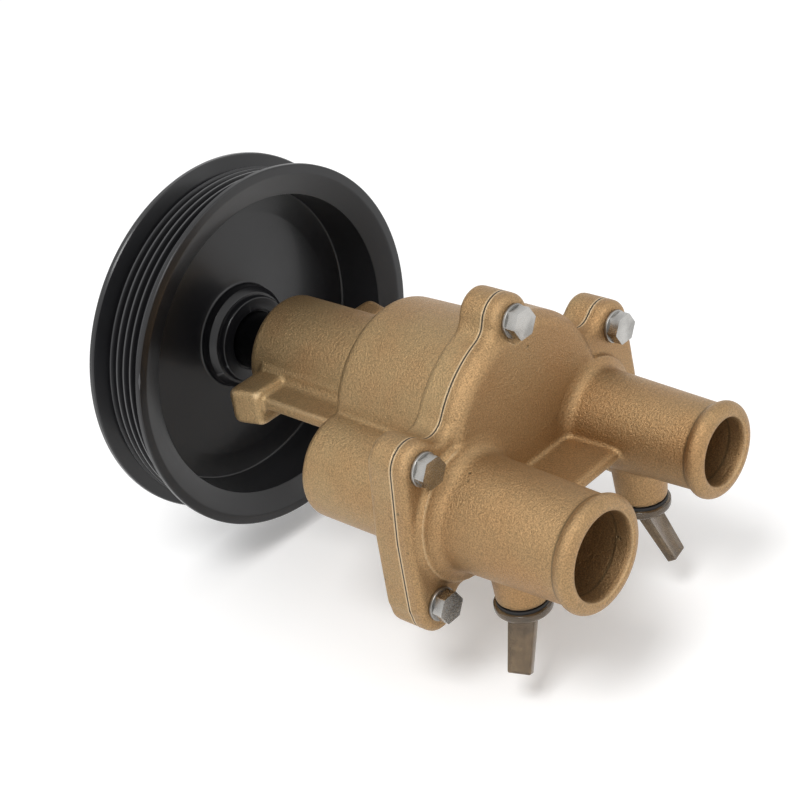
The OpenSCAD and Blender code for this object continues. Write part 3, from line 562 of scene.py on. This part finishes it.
SNOUT_R = 21.7 * MM
BARREL_BACK_R = 33.1 * MM
BARREL_FRONT_R = 34.2 * MM
LOBE_R = 19.7 * MM
FLANGE_BACK = -92.0 * MM
EAR_X = 31.5 * MM
EAR_R = 9.0 * MM
EAR_THICK = 14.0 * MM
EAR_TOP = 5.2 * MM
EAR_HOLE_DEPTH = 11.0 * MM
EAR_END = 38.9 * MM
EAR_NECK = 36.9 * MM
SHELF_ROOT = 3.6 * MM
SHELF_X = 34.5 * MM
SHELF_TOP = 3.0 * MM
SHELF_LOW = -2.0 * MM
BEARING_R = 17.5 * MM
EAR_HOLE_R = 4.25 * MM
LAND_END = -40.2 * MM
BARREL_ROUND = 3.0 * MM
LOBE_ROUND = 2.2 * MM
SNOUT_DRAFT = 0.3 * MM
EAR_ROUND = 3.2 * MM
EAR_LOW_ROUND = 4.4 * MM
EAR_TOP_ROUND = 2.4 * MM
SHELF_ROUND = 1.6 * MM
SHELF_END = -3.0 * MM
ROOT_END = -1.5 * MM
ROOT_IN = 0.7 * SNOUT_R
SCREW_PAD_R = 7.0 * MM
SCREW_PAD_DRAFT = 0.4 * MM
SCREW_PAD_LOW = -36.2 * MM
SCREW_PAD_TOP = -25.0 * MM
PAST = 4.0 * MM


def rounded_box(x, low_z, high_z, r):
    corners = (((x - r, high_z - r), 90.0, 0.0), ((x - r, low_z + r), 0.0, -90.0),
               ((-x + r, low_z + r), -90.0, -180.0), ((-x + r, high_z - r), 180.0, 90.0))
    return [p for center, a, b in corners for p in arc(center, r, a, b, 5)]


def ear_plan():
    """Both ears and the bar between them seen from above, wider at the bracket's face."""
    r = EAR_ROUND
    half = arc((EAR_NECK - r, r - EAR_THICK), r, -90.0, 0.0, 5)
    half += arc((EAR_END - r, -r), r, 0.0, 90.0, 5)
    return half + [(-x, y) for x, y in reversed(half)]


def shelf_root(side):
    """Concave fillet between the shelf and one side of the snout."""
    x, z = side * (SNOUT_R + SHELF_ROOT), SHELF_TOP + SHELF_ROOT
    foot = 270.0 if side > 0 else -90.0
    return ([(side * ROOT_IN, z)] + arc((x, z), SHELF_ROOT, 90.0 + side * 90.0, foot)
            + [(x, 0.0), (side * ROOT_IN, 0.0)])


def body_shapes(bm):
    s = sizes()
    inside = BODY_BACK - BARREL_ROUND
    lathe(bm, [(0.0, SNOUT_END)] + arc((SNOUT_R - MM, SNOUT_END - MM), MM, 90.0, 0.0, 4)
          + [(SNOUT_R + SNOUT_DRAFT, inside), (0.0, inside)])
    prism(bm, ear_plan(), -EAR_R, EAR_TOP, EAR_LOW_ROUND, EAR_TOP_ROUND, 4, "Z")
    prism(bm, rounded_box(SHELF_X, SHELF_LOW, SHELF_TOP, SHELF_ROUND), inside, SHELF_END)
    for side in (-1, 1):
        prism(bm, shelf_root(side), inside, ROOT_END)
    lathe(bm, [(0.0, BODY_BACK)] + arc((BARREL_BACK_R - BARREL_ROUND, inside), BARREL_ROUND, 90.0, 0.0)
          + [(BARREL_FRONT_R, FLANGE_BACK), (BARREL_FRONT_R, PARTING), (0.0, PARTING)])
    for side in (-1, 1):
        lathe(bm, [(0.0, BODY_BACK)]
              + arc((LOBE_R - LOBE_ROUND, BODY_BACK - LOBE_ROUND), LOBE_ROUND, 90.0, 0.0)
              + [(LOBE_R, PARTING), (0.0, PARTING)], (side * s.port_x, -s.port_drop))
    prism(bm, flange_outline(), PARTING - PAST, FLANGE_BACK, 0.0, s.back_round)
    screw_y = (node_low("cam", 1) + node_high("cam", 1)) / 2
    lathe(bm, [(0.0, SCREW_PAD_LOW), (SCREW_PAD_R, SCREW_PAD_LOW),
               (SCREW_PAD_R + SCREW_PAD_DRAFT, SCREW_PAD_TOP), (0.0, SCREW_PAD_TOP)],
          (0.0, screw_y), 48, "Z")


def body_cuts(bm):
    lathe(bm, [(0.0, SNOUT_END + PAST), (BEARING_R, SNOUT_END + PAST), (BEARING_R, LAND_END),
               (0.0, LAND_END)])
    for side in (-1, 1):
        lathe(bm, [(0.0, PAST), (EAR_HOLE_R, PAST), (EAR_HOLE_R, -EAR_HOLE_DEPTH),
                   (0.0, -EAR_HOLE_DEPTH - MM)], (side * EAR_X, 0.0), 32)


def make_body():
    mesh = cast_mesh("body", body_shapes, body_cuts, PARTING, True)
    adopted(mesh, "body_casting", cast_bronze("bronze_body", 0.25), "casing", "cast_bronze",
            "pump_body", "seal_housing", "bearing_housing")


# Cover with its two ports

DISC_R = 39.1 * MM
DISC_ROUND = 3.5 * MM
DISC_RISE = 2.1 * MM
BEAD_ROUND = 3.4 * MM
BEAD_FOOT = MOUTH + 6.6 * MM
HOSE_LAND = 14.0 * MM
TUBE_DRAFT = 1.1 * MM
MOUTH_ROUND = 1.5 * MM
BRIDGE_TOP = -13.0 * MM
BRIDGE_LOW = -17.3 * MM
BRIDGE_FRONT = -132.9 * MM
DRAIN_LOW = -42.5 * MM
DRAIN_R = 9.2 * MM
DRAIN_SPREAD = 2.05 * MM
COVER_FLOOR = 3.0 * MM
SPOT_R = 7.3 * MM
DRAIN_BACK = 37.5 * MM
BOSS_EDGE = 0.6 * MM
BOSS_RISE = 0.3 * MM
BEAD_NECK = 0.35 * MM
# Tube radius, bead radius, bore radius and root fillet of the left and the right port
PORTS = {-1: (19.1 * MM, 20.3 * MM, 14.9 * MM, 4.6 * MM), 1: (15.8 * MM, 17.3 * MM, 11.9 * MM, 3.4 * MM)}


def port_profile(tube_r, bead_r, root_blend):
    """Half section of a hose port: root fillet, drafted tube and rounded bead."""
    face = RIM_FACE - DISC_RISE - BOSS_RISE
    root_r = tube_r + TUBE_DRAFT
    boss_r = root_r + root_blend + BOSS_EDGE
    bead = (bead_r - BEAD_ROUND, MOUTH + BEAD_ROUND)
    bead_turn = math.degrees(math.acos((tube_r - bead[0]) / BEAD_ROUND))
    return ([(0.0, GASKET_FRONT), (boss_r, GASKET_FRONT)]
            + arc((boss_r - BOSS_EDGE, face + BOSS_EDGE), BOSS_EDGE, 0.0, -90.0, 3)
            + arc((root_r + root_blend, face - root_blend), root_blend, 90.0, 180.0, 8)[1:]
            + [(tube_r, MOUTH + BEAD_ROUND + HOSE_LAND), (tube_r - BEAD_NECK, BEAD_FOOT)]
            + arc(bead, BEAD_ROUND, bead_turn, -90.0, 12) + [(0.0, MOUTH)])


def cover_shapes(bm):
    s = sizes()
    face = RIM_FACE - DISC_RISE
    prism(bm, flange_outline(), RIM_FACE, GASKET_FRONT + PAST, s.plate_round, 0.0, 4)
    lathe(bm, [(0.0, GASKET_FRONT), (DISC_R, GASKET_FRONT)]
          + arc((DISC_R - DISC_ROUND, face + DISC_ROUND), DISC_ROUND, 0.0, -90.0)
          + [(0.0, face)], steps=128)
    for side, (tube_r, bead_r, _, root_blend) in PORTS.items():
        center = (side * s.port_x, -s.port_drop)
        lathe(bm, port_profile(tube_r, bead_r, root_blend), center, 128)
        lathe(bm, [(0.0, DRAIN_LOW)] + arc((DRAIN_R - MM, DRAIN_LOW + MM), MM, -90.0, 0.0, 4)
              + [(DRAIN_R + DRAIN_SPREAD, -s.port_drop), (0.0, -s.port_drop)],
              (side * s.port_x, MOUTH + DRAIN_BACK), 64, "Z")
    half = (BRIDGE_TOP - BRIDGE_LOW) / 2
    middle = (BRIDGE_FRONT + half, BRIDGE_LOW + half)
    rim = [(GASKET_FRONT, BRIDGE_LOW), (GASKET_FRONT, BRIDGE_TOP)] + arc(middle, half, 90.0, 270.0)
    verts = [bm.verts.new((-s.port_x, y, z)) for y, z in rim]
    made = bmesh.ops.extrude_face_region(bm, geom=[bm.faces.new(verts)])["geom"]
    moved = [v for v in made if isinstance(v, bmesh.types.BMVert)]
    bmesh.ops.translate(bm, verts=moved, vec=(2 * s.port_x, 0.0, 0.0))


def cover_cuts(bm):
    s = sizes()
    for side, (_, _, bore_r, _) in PORTS.items():
        lathe(bm, [(0.0, MOUTH - PAST), (bore_r + MOUTH_ROUND, MOUTH - PAST)]
              + arc((bore_r + MOUTH_ROUND, MOUTH + MOUTH_ROUND), MOUTH_ROUND, 270.0, 180.0, 5)
              + [(bore_r, GASKET_FRONT - COVER_FLOOR), (0.0, GASKET_FRONT - COVER_FLOOR)],
              (side * s.port_x, -s.port_drop), 96)
    for x, z in lug_places():
        lathe(bm, [(0.0, RIM_FACE), (SPOT_R, RIM_FACE), (SPOT_R, RIM_FACE - 3 * PAST),
                   (0.0, RIM_FACE - 3 * PAST)], (x, z), 48)


def make_cover():
    mesh = cast_mesh("cover", cover_shapes, cover_cuts, GASKET_FRONT, False)
    # The bead's foot gets a painted shade line.
    adopted(mesh, "cover_casting", cast_bronze("bronze_cover", 0.75, (BEAD_FOOT,)), "casing",
            "cast_bronze", "cover")


# Bolts and washers

HEX_FLATS = 10.0 * MM
WASHER_R = 6.0 * MM
HEX_CORNER_ROUND = 0.35 * MM
HEX_CHAMFER = 0.55 * MM
SHANK_R = 3.0 * MM
SHANK_TIP = 0.5 * MM
WASHER_HOLE_R = 3.1 * MM
WASHER_EDGE = 0.25 * MM


def hex_head(bm, center, low, high):
    """A hexagon head with a round chamfer on its outer face, closed at the washer."""
    corner = HEX_FLATS / 2 / math.cos(math.pi / 6)
    ring = arc(center, corner, 0.0, 300.0, 5)
    verts = [bm.verts.new((x, high, z)) for x, z in ring]
    face = bm.faces.new(verts)
    made = bmesh.ops.extrude_face_region(bm, geom=[face])["geom"]
    moved = [v for v in made if isinstance(v, bmesh.types.BMVert)]
    top = [f for f in made if isinstance(f, bmesh.types.BMFace)]
    bmesh.ops.translate(bm, verts=moved, vec=(0.0, low - high, 0.0))
    corners = [e for v in moved for e in v.link_edges if e.other_vert(v) in verts]
    bmesh.ops.bevel(bm, geom=list(set(corners)), offset=HEX_CORNER_ROUND, offset_type="OFFSET",
                    segments=2, profile=0.5, affect="EDGES", clamp_overlap=True, material=-1)
    rims = [e for f in top if f.is_valid for e in f.edges]
    bmesh.ops.bevel(bm, geom=list(set(rims)), offset=HEX_CHAMFER, offset_type="OFFSET", segments=3,
                    profile=0.5, affect="EDGES", clamp_overlap=True, material=-1)


def make_bolts():
    steel = tuple(colours().stainless)
    shank_end = node_high("cover_bolts", 1)
    bm = bmesh.new()
    for center in lug_places():
        hex_head(bm, center, HEAD_TOP, WASHER_FACE)
        lathe(bm, [(0.0, WASHER_FACE - MM), (SHANK_R, WASHER_FACE - MM), (SHANK_R, shank_end - SHANK_TIP),
                   (SHANK_R - SHANK_TIP, shank_end), (0.0, shank_end)], center, 32)
    bolts = finished(bm, "cover_bolt_set", machined("bolt_steel", steel, 0.2, 1.0),
                     "casing", "stainless_bolt", "cover_bolts")
    with_sharp_rims(bolts, 30.0)
    bm = bmesh.new()
    inner_r = WASHER_R - WASHER_EDGE
    for center in lug_places():
        rim = ([(WASHER_HOLE_R, RIM_FACE), (WASHER_HOLE_R, WASHER_FACE)]
               + arc((inner_r, WASHER_FACE + WASHER_EDGE), WASHER_EDGE, -90.0, 0.0, 3)
               + arc((inner_r, RIM_FACE - WASHER_EDGE), WASHER_EDGE, 0.0, 90.0, 3)
               + [(WASHER_HOLE_R, RIM_FACE)])
        lathe(bm, rim, center, 48)
    duller = machined("washer_steel", tuple(0.85 * v for v in steel), 0.3, 1.0)
    washers = finished(bm, "bolt_washer_set", duller, "casing", "stainless_bolt", "bolt_washers")
    with_sharp_rims(washers)


# Pulley

RIM_INNER_R = 58.1 * MM
RIM_FILLET = 0.9 * MM
RIM_LIP = 3.1 * MM
RIM_EDGE = 0.5 * MM
FAR_EDGE = 0.6 * MM
HUB_R = 20.0 * MM
HUB_FILLET = 1.2 * MM
HUB_LONG = 9.2 * MM
WEB_BACK = 5.4 * MM
WEB_RECESS = 0.8 * MM


def stations(base, *pairs):
    """Outline points from pairs of radius and distance from a place, in millimetres."""
    return [(r * MM, base + off * MM) for r, off in pairs]


def groove_points(outer_r, mid):
    """Outline of one belt groove round its middle."""
    s = bpy.context.scene.pump_pulley
    floor_r = outer_r - s.groove_depth
    top_half, floor_half, tip = 1.42 * MM, 0.4 * MM, 0.18 * MM
    return [(outer_r - tip, mid - top_half), (floor_r + tip, mid - floor_half - 0.15 * MM),
            (floor_r, mid - floor_half + 0.1 * MM), (floor_r, mid + floor_half - 0.1 * MM),
            (floor_r + tip, mid + floor_half + 0.15 * MM), (outer_r - tip, mid + top_half)]


def pulley_profile():
    """Half section of the pulley: hub, dished web, rim and belt grooves."""
    s = bpy.context.scene.pump_pulley
    outer = s.outer_r
    web = PULLEY_FAR - WEB_BACK
    hub = web - HUB_LONG
    lip = PULLEY_NEAR + RIM_LIP
    lead = (PULLEY_FAR - PULLEY_NEAR - s.groove_count * s.groove_pitch) / 2
    near, far = PULLEY_NEAR + lead, PULLEY_FAR - lead
    points = stations(hub, (8.5, 1.0), (11.8, 1.0), (11.8, 0.25))
    points += arc((12.1 * MM, hub + 0.3 * MM), 0.3 * MM, 180.0, 270.0, 3)
    points += arc((16.3 * MM, hub + 0.5 * MM), 0.5 * MM, -90.0, -30.0, 3)
    points += stations(hub, (17.0, 0.8), (17.1, 2.7))
    points += arc((17.7 * MM, hub + 3.4 * MM), 0.6 * MM, -90.0, -45.0, 3)
    points += arc((19.4 * MM, hub + 5.3 * MM), 0.6 * MM, -45.0, 0.0, 3)
    points += arc((HUB_R + HUB_FILLET, web - HUB_FILLET), HUB_FILLET, 180.0, 90.0, 4)
    points += stations(web, (47.6, 0.0), (48.4, 0.1))
    points += arc((RIM_INNER_R - RIM_FILLET, web), RIM_FILLET, 80.0, 0.0, 5)
    points += [(RIM_INNER_R, lip + 0.5 * MM), (RIM_INNER_R + 0.12 * MM, lip + 0.12 * MM),
               (RIM_INNER_R + 0.5 * MM, lip - 0.15 * MM)]
    points += stations(PULLEY_NEAR, (66.1, 0.3), (66.6, 0.04), (67.0, 0.0))
    points += [(outer - 0.9 * MM, PULLEY_NEAR)]
    points += arc((outer - RIM_EDGE, PULLEY_NEAR + RIM_EDGE), RIM_EDGE, -90.0, 0.0, 4)
    points += [(outer, near - 1.3 * MM), (outer - 0.35 * MM, near - 0.8 * MM)]
    for i in range(s.groove_count):
        points += groove_points(outer - s.belt_recess, near + (i + 0.5) * s.groove_pitch)
    points += [(outer - 0.35 * MM, far + 0.8 * MM), (outer, far + 1.3 * MM)]
    points += arc((outer - FAR_EDGE, PULLEY_FAR - FAR_EDGE), FAR_EDGE, 0.0, 90.0, 4)
    points += [(RIM_INNER_R + 2 * WEB_RECESS, PULLEY_FAR),
               (RIM_INNER_R + WEB_RECESS, PULLEY_FAR - WEB_RECESS),
               (HUB_R + WEB_RECESS, PULLEY_FAR - WEB_RECESS), (HUB_R - WEB_RECESS / 2, PULLEY_FAR)]
    points += stations(PULLEY_FAR, (8.9, 0.0), (8.5, -0.4)) + stations(hub, (8.5, 1.0))
    return points


def make_pulley():
    bm = bmesh.new()
    lathe(bm, pulley_profile(), steps=256)
    piece = finished(bm, "belt_pulley", enamel("pulley_enamel"), "rotor", "black_enamel", "pulley")
    with_sharp_rims(piece, 25.0)


# Drain plugs

PLUG_LEAN = 28.0
PLUG_TURNS = {"left": 200.0, "right": 282.0}
HANDLE_LONG = 24.0 * MM
HANDLE_ROOT_W = 10.0 * MM
HANDLE_TIP_W = 8.3 * MM
HANDLE_THICK = 5.0 * MM
HANDLE_THINNING = 0.8
HANDLE_ROUND = 0.7 * MM
TROUGH_RIM = 1.7 * MM
TROUGH_DEPTH = 0.9 * MM
COLLAR_R = 10.2 * MM
COLLAR_THICK = 3.4 * MM
COLLAR_ROUND = 1.5 * MM
COLLAR_EDGE = 0.3 * MM
STEM_R = 5.95 * MM
STEM_LONG = 11.0 * MM
STEM_EDGE = 0.8 * MM


def plug_handle(bm, center, turn, top_z):
    """The flat leaning handle, wide at the root, with a shallow trough in its broad face."""
    x, y = HANDLE_THICK / 2, HANDLE_ROOT_W / 2
    verts = [bm.verts.new((*corner, 0.0)) for corner in ((-x, -y), (x, -y), (x, y), (-x, y))]
    face = bm.faces.new(verts)
    made = bmesh.ops.extrude_face_region(bm, geom=[face])["geom"]
    moved = [v for v in made if isinstance(v, bmesh.types.BMVert)]
    bmesh.ops.translate(bm, verts=moved, vec=(0.0, 0.0, -HANDLE_LONG))
    bmesh.ops.scale(bm, vec=(HANDLE_THINNING, HANDLE_TIP_W / HANDLE_ROOT_W, 1.0), verts=moved)
    whole = verts + moved
    broad = [f for f in {f for v in whole for f in v.link_faces} if abs(f.normal.x) > 0.9]
    bmesh.ops.recalc_face_normals(bm, faces=list({f for v in whole for f in v.link_faces}))
    bmesh.ops.inset_individual(bm, faces=broad, thickness=TROUGH_RIM, depth=-TROUGH_DEPTH)
    linked = list({f for v in whole if v.is_valid for f in v.link_faces})
    rims = list({e for f in linked for e in f.edges if e.is_manifold and e.calc_face_angle() > 0.9})
    bmesh.ops.bevel(bm, geom=rims, offset=HANDLE_ROUND, offset_type="OFFSET", segments=3, profile=0.5,
                    affect="EDGES", clamp_overlap=True, material=-1)
    place = Matrix.Translation((center[0], center[1], top_z))
    place @= Matrix.Rotation(math.radians(turn), 4, "Z") @ Matrix.Rotation(math.radians(-PLUG_LEAN), 4, "Y")
    bmesh.ops.transform(bm, matrix=place, verts=bm.verts)


def make_plug(name):
    low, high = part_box(name + "_drain_ring")
    ring_low = low[2]
    center = ((low[0] + high[0]) / 2, (low[1] + high[1]) / 2)
    bottom = ring_low - COLLAR_THICK
    bm = bmesh.new()
    plug_handle(bm, center, PLUG_TURNS[name], bottom + COLLAR_THICK / 2)
    top = ring_low + STEM_LONG
    lathe(bm, [(0.0, bottom)]
          + arc((COLLAR_R - COLLAR_ROUND, bottom + COLLAR_ROUND), COLLAR_ROUND, -90.0, 0.0, 6)
          + [(COLLAR_R, ring_low - COLLAR_EDGE), (COLLAR_R - COLLAR_EDGE, ring_low), (STEM_R, ring_low),
             (STEM_R, top - STEM_EDGE), (STEM_R - STEM_EDGE, top), (0.0, top)], center, 64, "Z")
    piece = finished(bm, name + "_plug_moulding", smoke_plastic(name + "_smoke"), name + "_plug",
                     "smoke_plastic", name + "_drain_plug")
    with_sharp_rims(piece, 50.0)


# CAD nodes that keep their own shape

def dress_nodes():
    """Gives every CAD node that stays its own finish."""
    steel = machined("bearing_finish", (0.7, 0.71, 0.73), 0.16, 1.0)
    spring = machined("spring_finish", (0.38, 0.39, 0.4), 0.3, 1.0)
    plate = machined("plate_finish", (0.52, 0.52, 0.5), 0.28, 1.0)
    black = machined("black_finish", (0.02, 0.02, 0.022), 0.32, 30.0)
    dull = rubber("rubber_finish", (0.012, 0.012, 0.013))
    fitted = {
        "cam_bronze": machined("cam_finish", (0.5, 0.36, 0.18), 0.34, 1.0),
        "cage_brass": machined("cage_finish", (0.6, 0.44, 0.18), 0.3, 1.0),
        "gasket_paper": plain_skin("gasket_finish", (0.02, 0.018, 0.015), 0.7),
        "stainless_bolt": machined("screw_finish", tuple(colours().stainless), 0.22, 1.0),
        "steel_plate": plate, "spring_steel": spring, "bearing_steel": steel,
        "black_steel": black, "black_rubber": dull,
        "carbon": plain_skin("carbon_finish", (0.03, 0.03, 0.033), 0.35),
        "ceramic": plain_skin("ceramic_finish", (0.76, 0.74, 0.68), 0.2),
        "black_enamel": black, "cast_bronze": plate, "smoke_plastic": dull,
    }
    slots = {entry["node"]: entry["material_slot"] for entry in frame["record"]["subparts"]}
    for name, thing in frame["nodes"].items():
        material = fitted[slots[name]]
        thing.data.materials.clear()
        thing.data.materials.append(material)


# Stage

CAMERA_PLACE = (-0.411043, -0.481155, 0.338937)
CAMERA_RIGHT = Vector((0.65546197, -0.74074426, -0.14719901))
CAMERA_UP = Vector((0.46360234, 0.24078094, 0.85270007))
CAMERA_BACK = Vector((-0.59618997, -0.62715427, 0.50123352))
CAMERA_LENS = 85.79
SENSOR = 36.0
FLOOR_Z = -81.5 * MM
FLOOR_R = 3.0
FLOOR_GLOW = 0.16
WHITE = 1.0
LAMP_TARGET = (0.0, -0.06, 0.0)
SKY_FROM, SKY_TO = -0.5, 0.9
SKY_DIM, SKY_BRIGHT = 0.3, 0.85


def white_world():
    """White to the camera, and a soft light that grows brighter towards the top."""
    world = bpy.data.worlds.new("studio")
    bpy.context.scene.world = world
    g = Graph(world)
    direction = g.node("ShaderNodeTexCoord", {}, {}, "Generated")
    height = g.node("ShaderNodeSeparateXYZ", {}, {"Vector": direction}, "Z")
    light = g.node("ShaderNodeMapRange", {}, {"Value": height, "From Min": SKY_FROM, "From Max": SKY_TO,
                                              "To Min": SKY_DIM, "To Max": SKY_BRIGHT})
    strength = g.node("ShaderNodeMix", {}, {0: g.showing_rays(), 2: light, 3: WHITE})
    back = g.tree.nodes["Background"]
    back.inputs["Color"].default_value = (1.0, 1.0, 1.0, 1.0)
    g.feed(back.inputs["Strength"], strength)


def soft_lamp(name, place, power, width):
    light = bpy.data.lights.new(name, "AREA")
    light.energy = power
    light.shape = "SQUARE"
    light.size = width
    lamp = bpy.data.objects.new(name, light)
    bpy.context.scene.collection.objects.link(lamp)
    lamp.location = place
    lamp.rotation_euler = (Vector(LAMP_TARGET) - Vector(place)).to_track_quat("-Z", "Y").to_euler()


def make_floor():
    """A round sheet of white paper under the pump, brightened where the camera sees it."""
    bm = bmesh.new()
    bmesh.ops.create_circle(bm, cap_ends=True, segments=96, radius=FLOOR_R,
                            matrix=Matrix.Translation((0.0, 0.0, FLOOR_Z)))
    mesh = bpy.data.meshes.new("floor")
    bm.to_mesh(mesh)
    bm.free()
    floor = bpy.data.objects.new("floor", mesh)
    bpy.context.scene.collection.objects.link(floor)
    g = new_finish("floor_paper")
    fibre = g.noise(g.place(), 600.0, 3.0)
    mesh.materials.append(g.finish(Base_Color=(0.93, 0.93, 0.93), Roughness=0.85 + fibre * 0.05,
                                   Specular_IOR_Level=0.1))
    paper = Value(g, g.tree.nodes["Principled BSDF"].outputs[0])
    glow = g.node("ShaderNodeEmission", {}, {"Strength": FLOOR_GLOW})
    bright = g.node("ShaderNodeAddShader", {}, {0: paper, 1: glow})
    shown = g.node("ShaderNodeMixShader", {}, {0: g.showing_rays(), 1: paper, 2: bright})
    g.feed(g.tree.nodes["Material Output"].inputs["Surface"], shown)


def make_camera():
    """The camera as solved from the photo."""
    data = bpy.data.cameras.new("photo_camera")
    data.sensor_width = SENSOR
    data.lens = CAMERA_LENS
    camera = bpy.data.objects.new("photo_camera", data)
    bpy.context.scene.collection.objects.link(camera)
    turn = Matrix((CAMERA_RIGHT, CAMERA_UP, CAMERA_BACK)).transposed()
    camera.matrix_world = Matrix.Translation(CAMERA_PLACE) @ turn.to_4x4()
    bpy.context.scene.camera = camera


# Operators, one for each piece or group

class PUMP_OT_body(bpy.types.Operator):
    """Builds the cast body"""
    bl_idname = "pump.body"
    bl_label = "Pump body"

    def execute(self, context):
        make_body()
        return {"FINISHED"}


class PUMP_OT_cover(bpy.types.Operator):
    """Builds the cast cover with its ports"""
    bl_idname = "pump.cover"
    bl_label = "Cover"

    def execute(self, context):
        make_cover()
        return {"FINISHED"}


class PUMP_OT_bolts(bpy.types.Operator):
    """Builds the cover bolts and washers"""
    bl_idname = "pump.bolts"
    bl_label = "Bolts"

    def execute(self, context):
        make_bolts()
        return {"FINISHED"}


class PUMP_OT_pulley(bpy.types.Operator):
    """Builds the belt pulley"""
    bl_idname = "pump.pulley"
    bl_label = "Pulley"

    def execute(self, context):
        make_pulley()
        return {"FINISHED"}


class PUMP_OT_plugs(bpy.types.Operator):
    """Builds both drain plugs"""
    bl_idname = "pump.plugs"
    bl_label = "Drain plugs"

    def execute(self, context):
        for name in PLUG_TURNS:
            make_plug(name)
        return {"FINISHED"}


class PUMP_OT_finishes(bpy.types.Operator):
    """Gives the CAD nodes that stay their finishes"""
    bl_idname = "pump.finishes"
    bl_label = "Inner finishes"

    def execute(self, context):
        dress_nodes()
        return {"FINISHED"}


class PUMP_OT_stage(bpy.types.Operator):
    """Sets up the floor, the lights and the camera"""
    bl_idname = "pump.stage"
    bl_label = "Stage"

    def execute(self, context):
        context.scene.view_settings.view_transform = "Standard"
        white_world()
        make_floor()
        soft_lamp("key", (-0.8, -0.35, 1.4), 13.0, 0.6)
        soft_lamp("fill", (0.5, -1.2, 0.5), 2.0, 0.8)
        make_camera()
        return {"FINISHED"}


class PUMP_PT_panel(bpy.types.Panel):
    """Lists the pump's pieces"""
    bl_idname = "PUMP_PT_panel"
    bl_label = "Sea-water pump"
    bl_space_type = "VIEW_3D"
    bl_region_type = "UI"
    bl_category = "Pump"

    def draw(self, context):
        for operator in OPERATORS:
            self.layout.operator(operator.bl_idname)
        for group in (context.scene.pump_casting, context.scene.pump_pulley, context.scene.pump_colours):
            for key in group.__annotations__:
                self.layout.prop(group, key)


GROUPS = {"pump_casting": CastingSizes, "pump_pulley": PulleySizes, "pump_colours": FinishColours}
OPERATORS = (PUMP_OT_finishes, PUMP_OT_body, PUMP_OT_cover, PUMP_OT_bolts, PUMP_OT_pulley,
             PUMP_OT_plugs, PUMP_OT_stage)


def register():
    for name, group in GROUPS.items():
        bpy.utils.register_class(group)
        setattr(bpy.types.Scene, name, PointerProperty(type=group))
    for cls in (*OPERATORS, PUMP_PT_panel):
        bpy.utils.register_class(cls)


def unregister():
    for cls in (PUMP_PT_panel, *reversed(OPERATORS)):
        bpy.utils.unregister_class(cls)
    for name, group in GROUPS.items():
        delattr(bpy.types.Scene, name)
        bpy.utils.unregister_class(group)


def main():
    register()
    for operator in OPERATORS:
        getattr(bpy.ops.pump, operator.bl_idname.split(".")[1])()


if __name__ == "__main__":
    main()
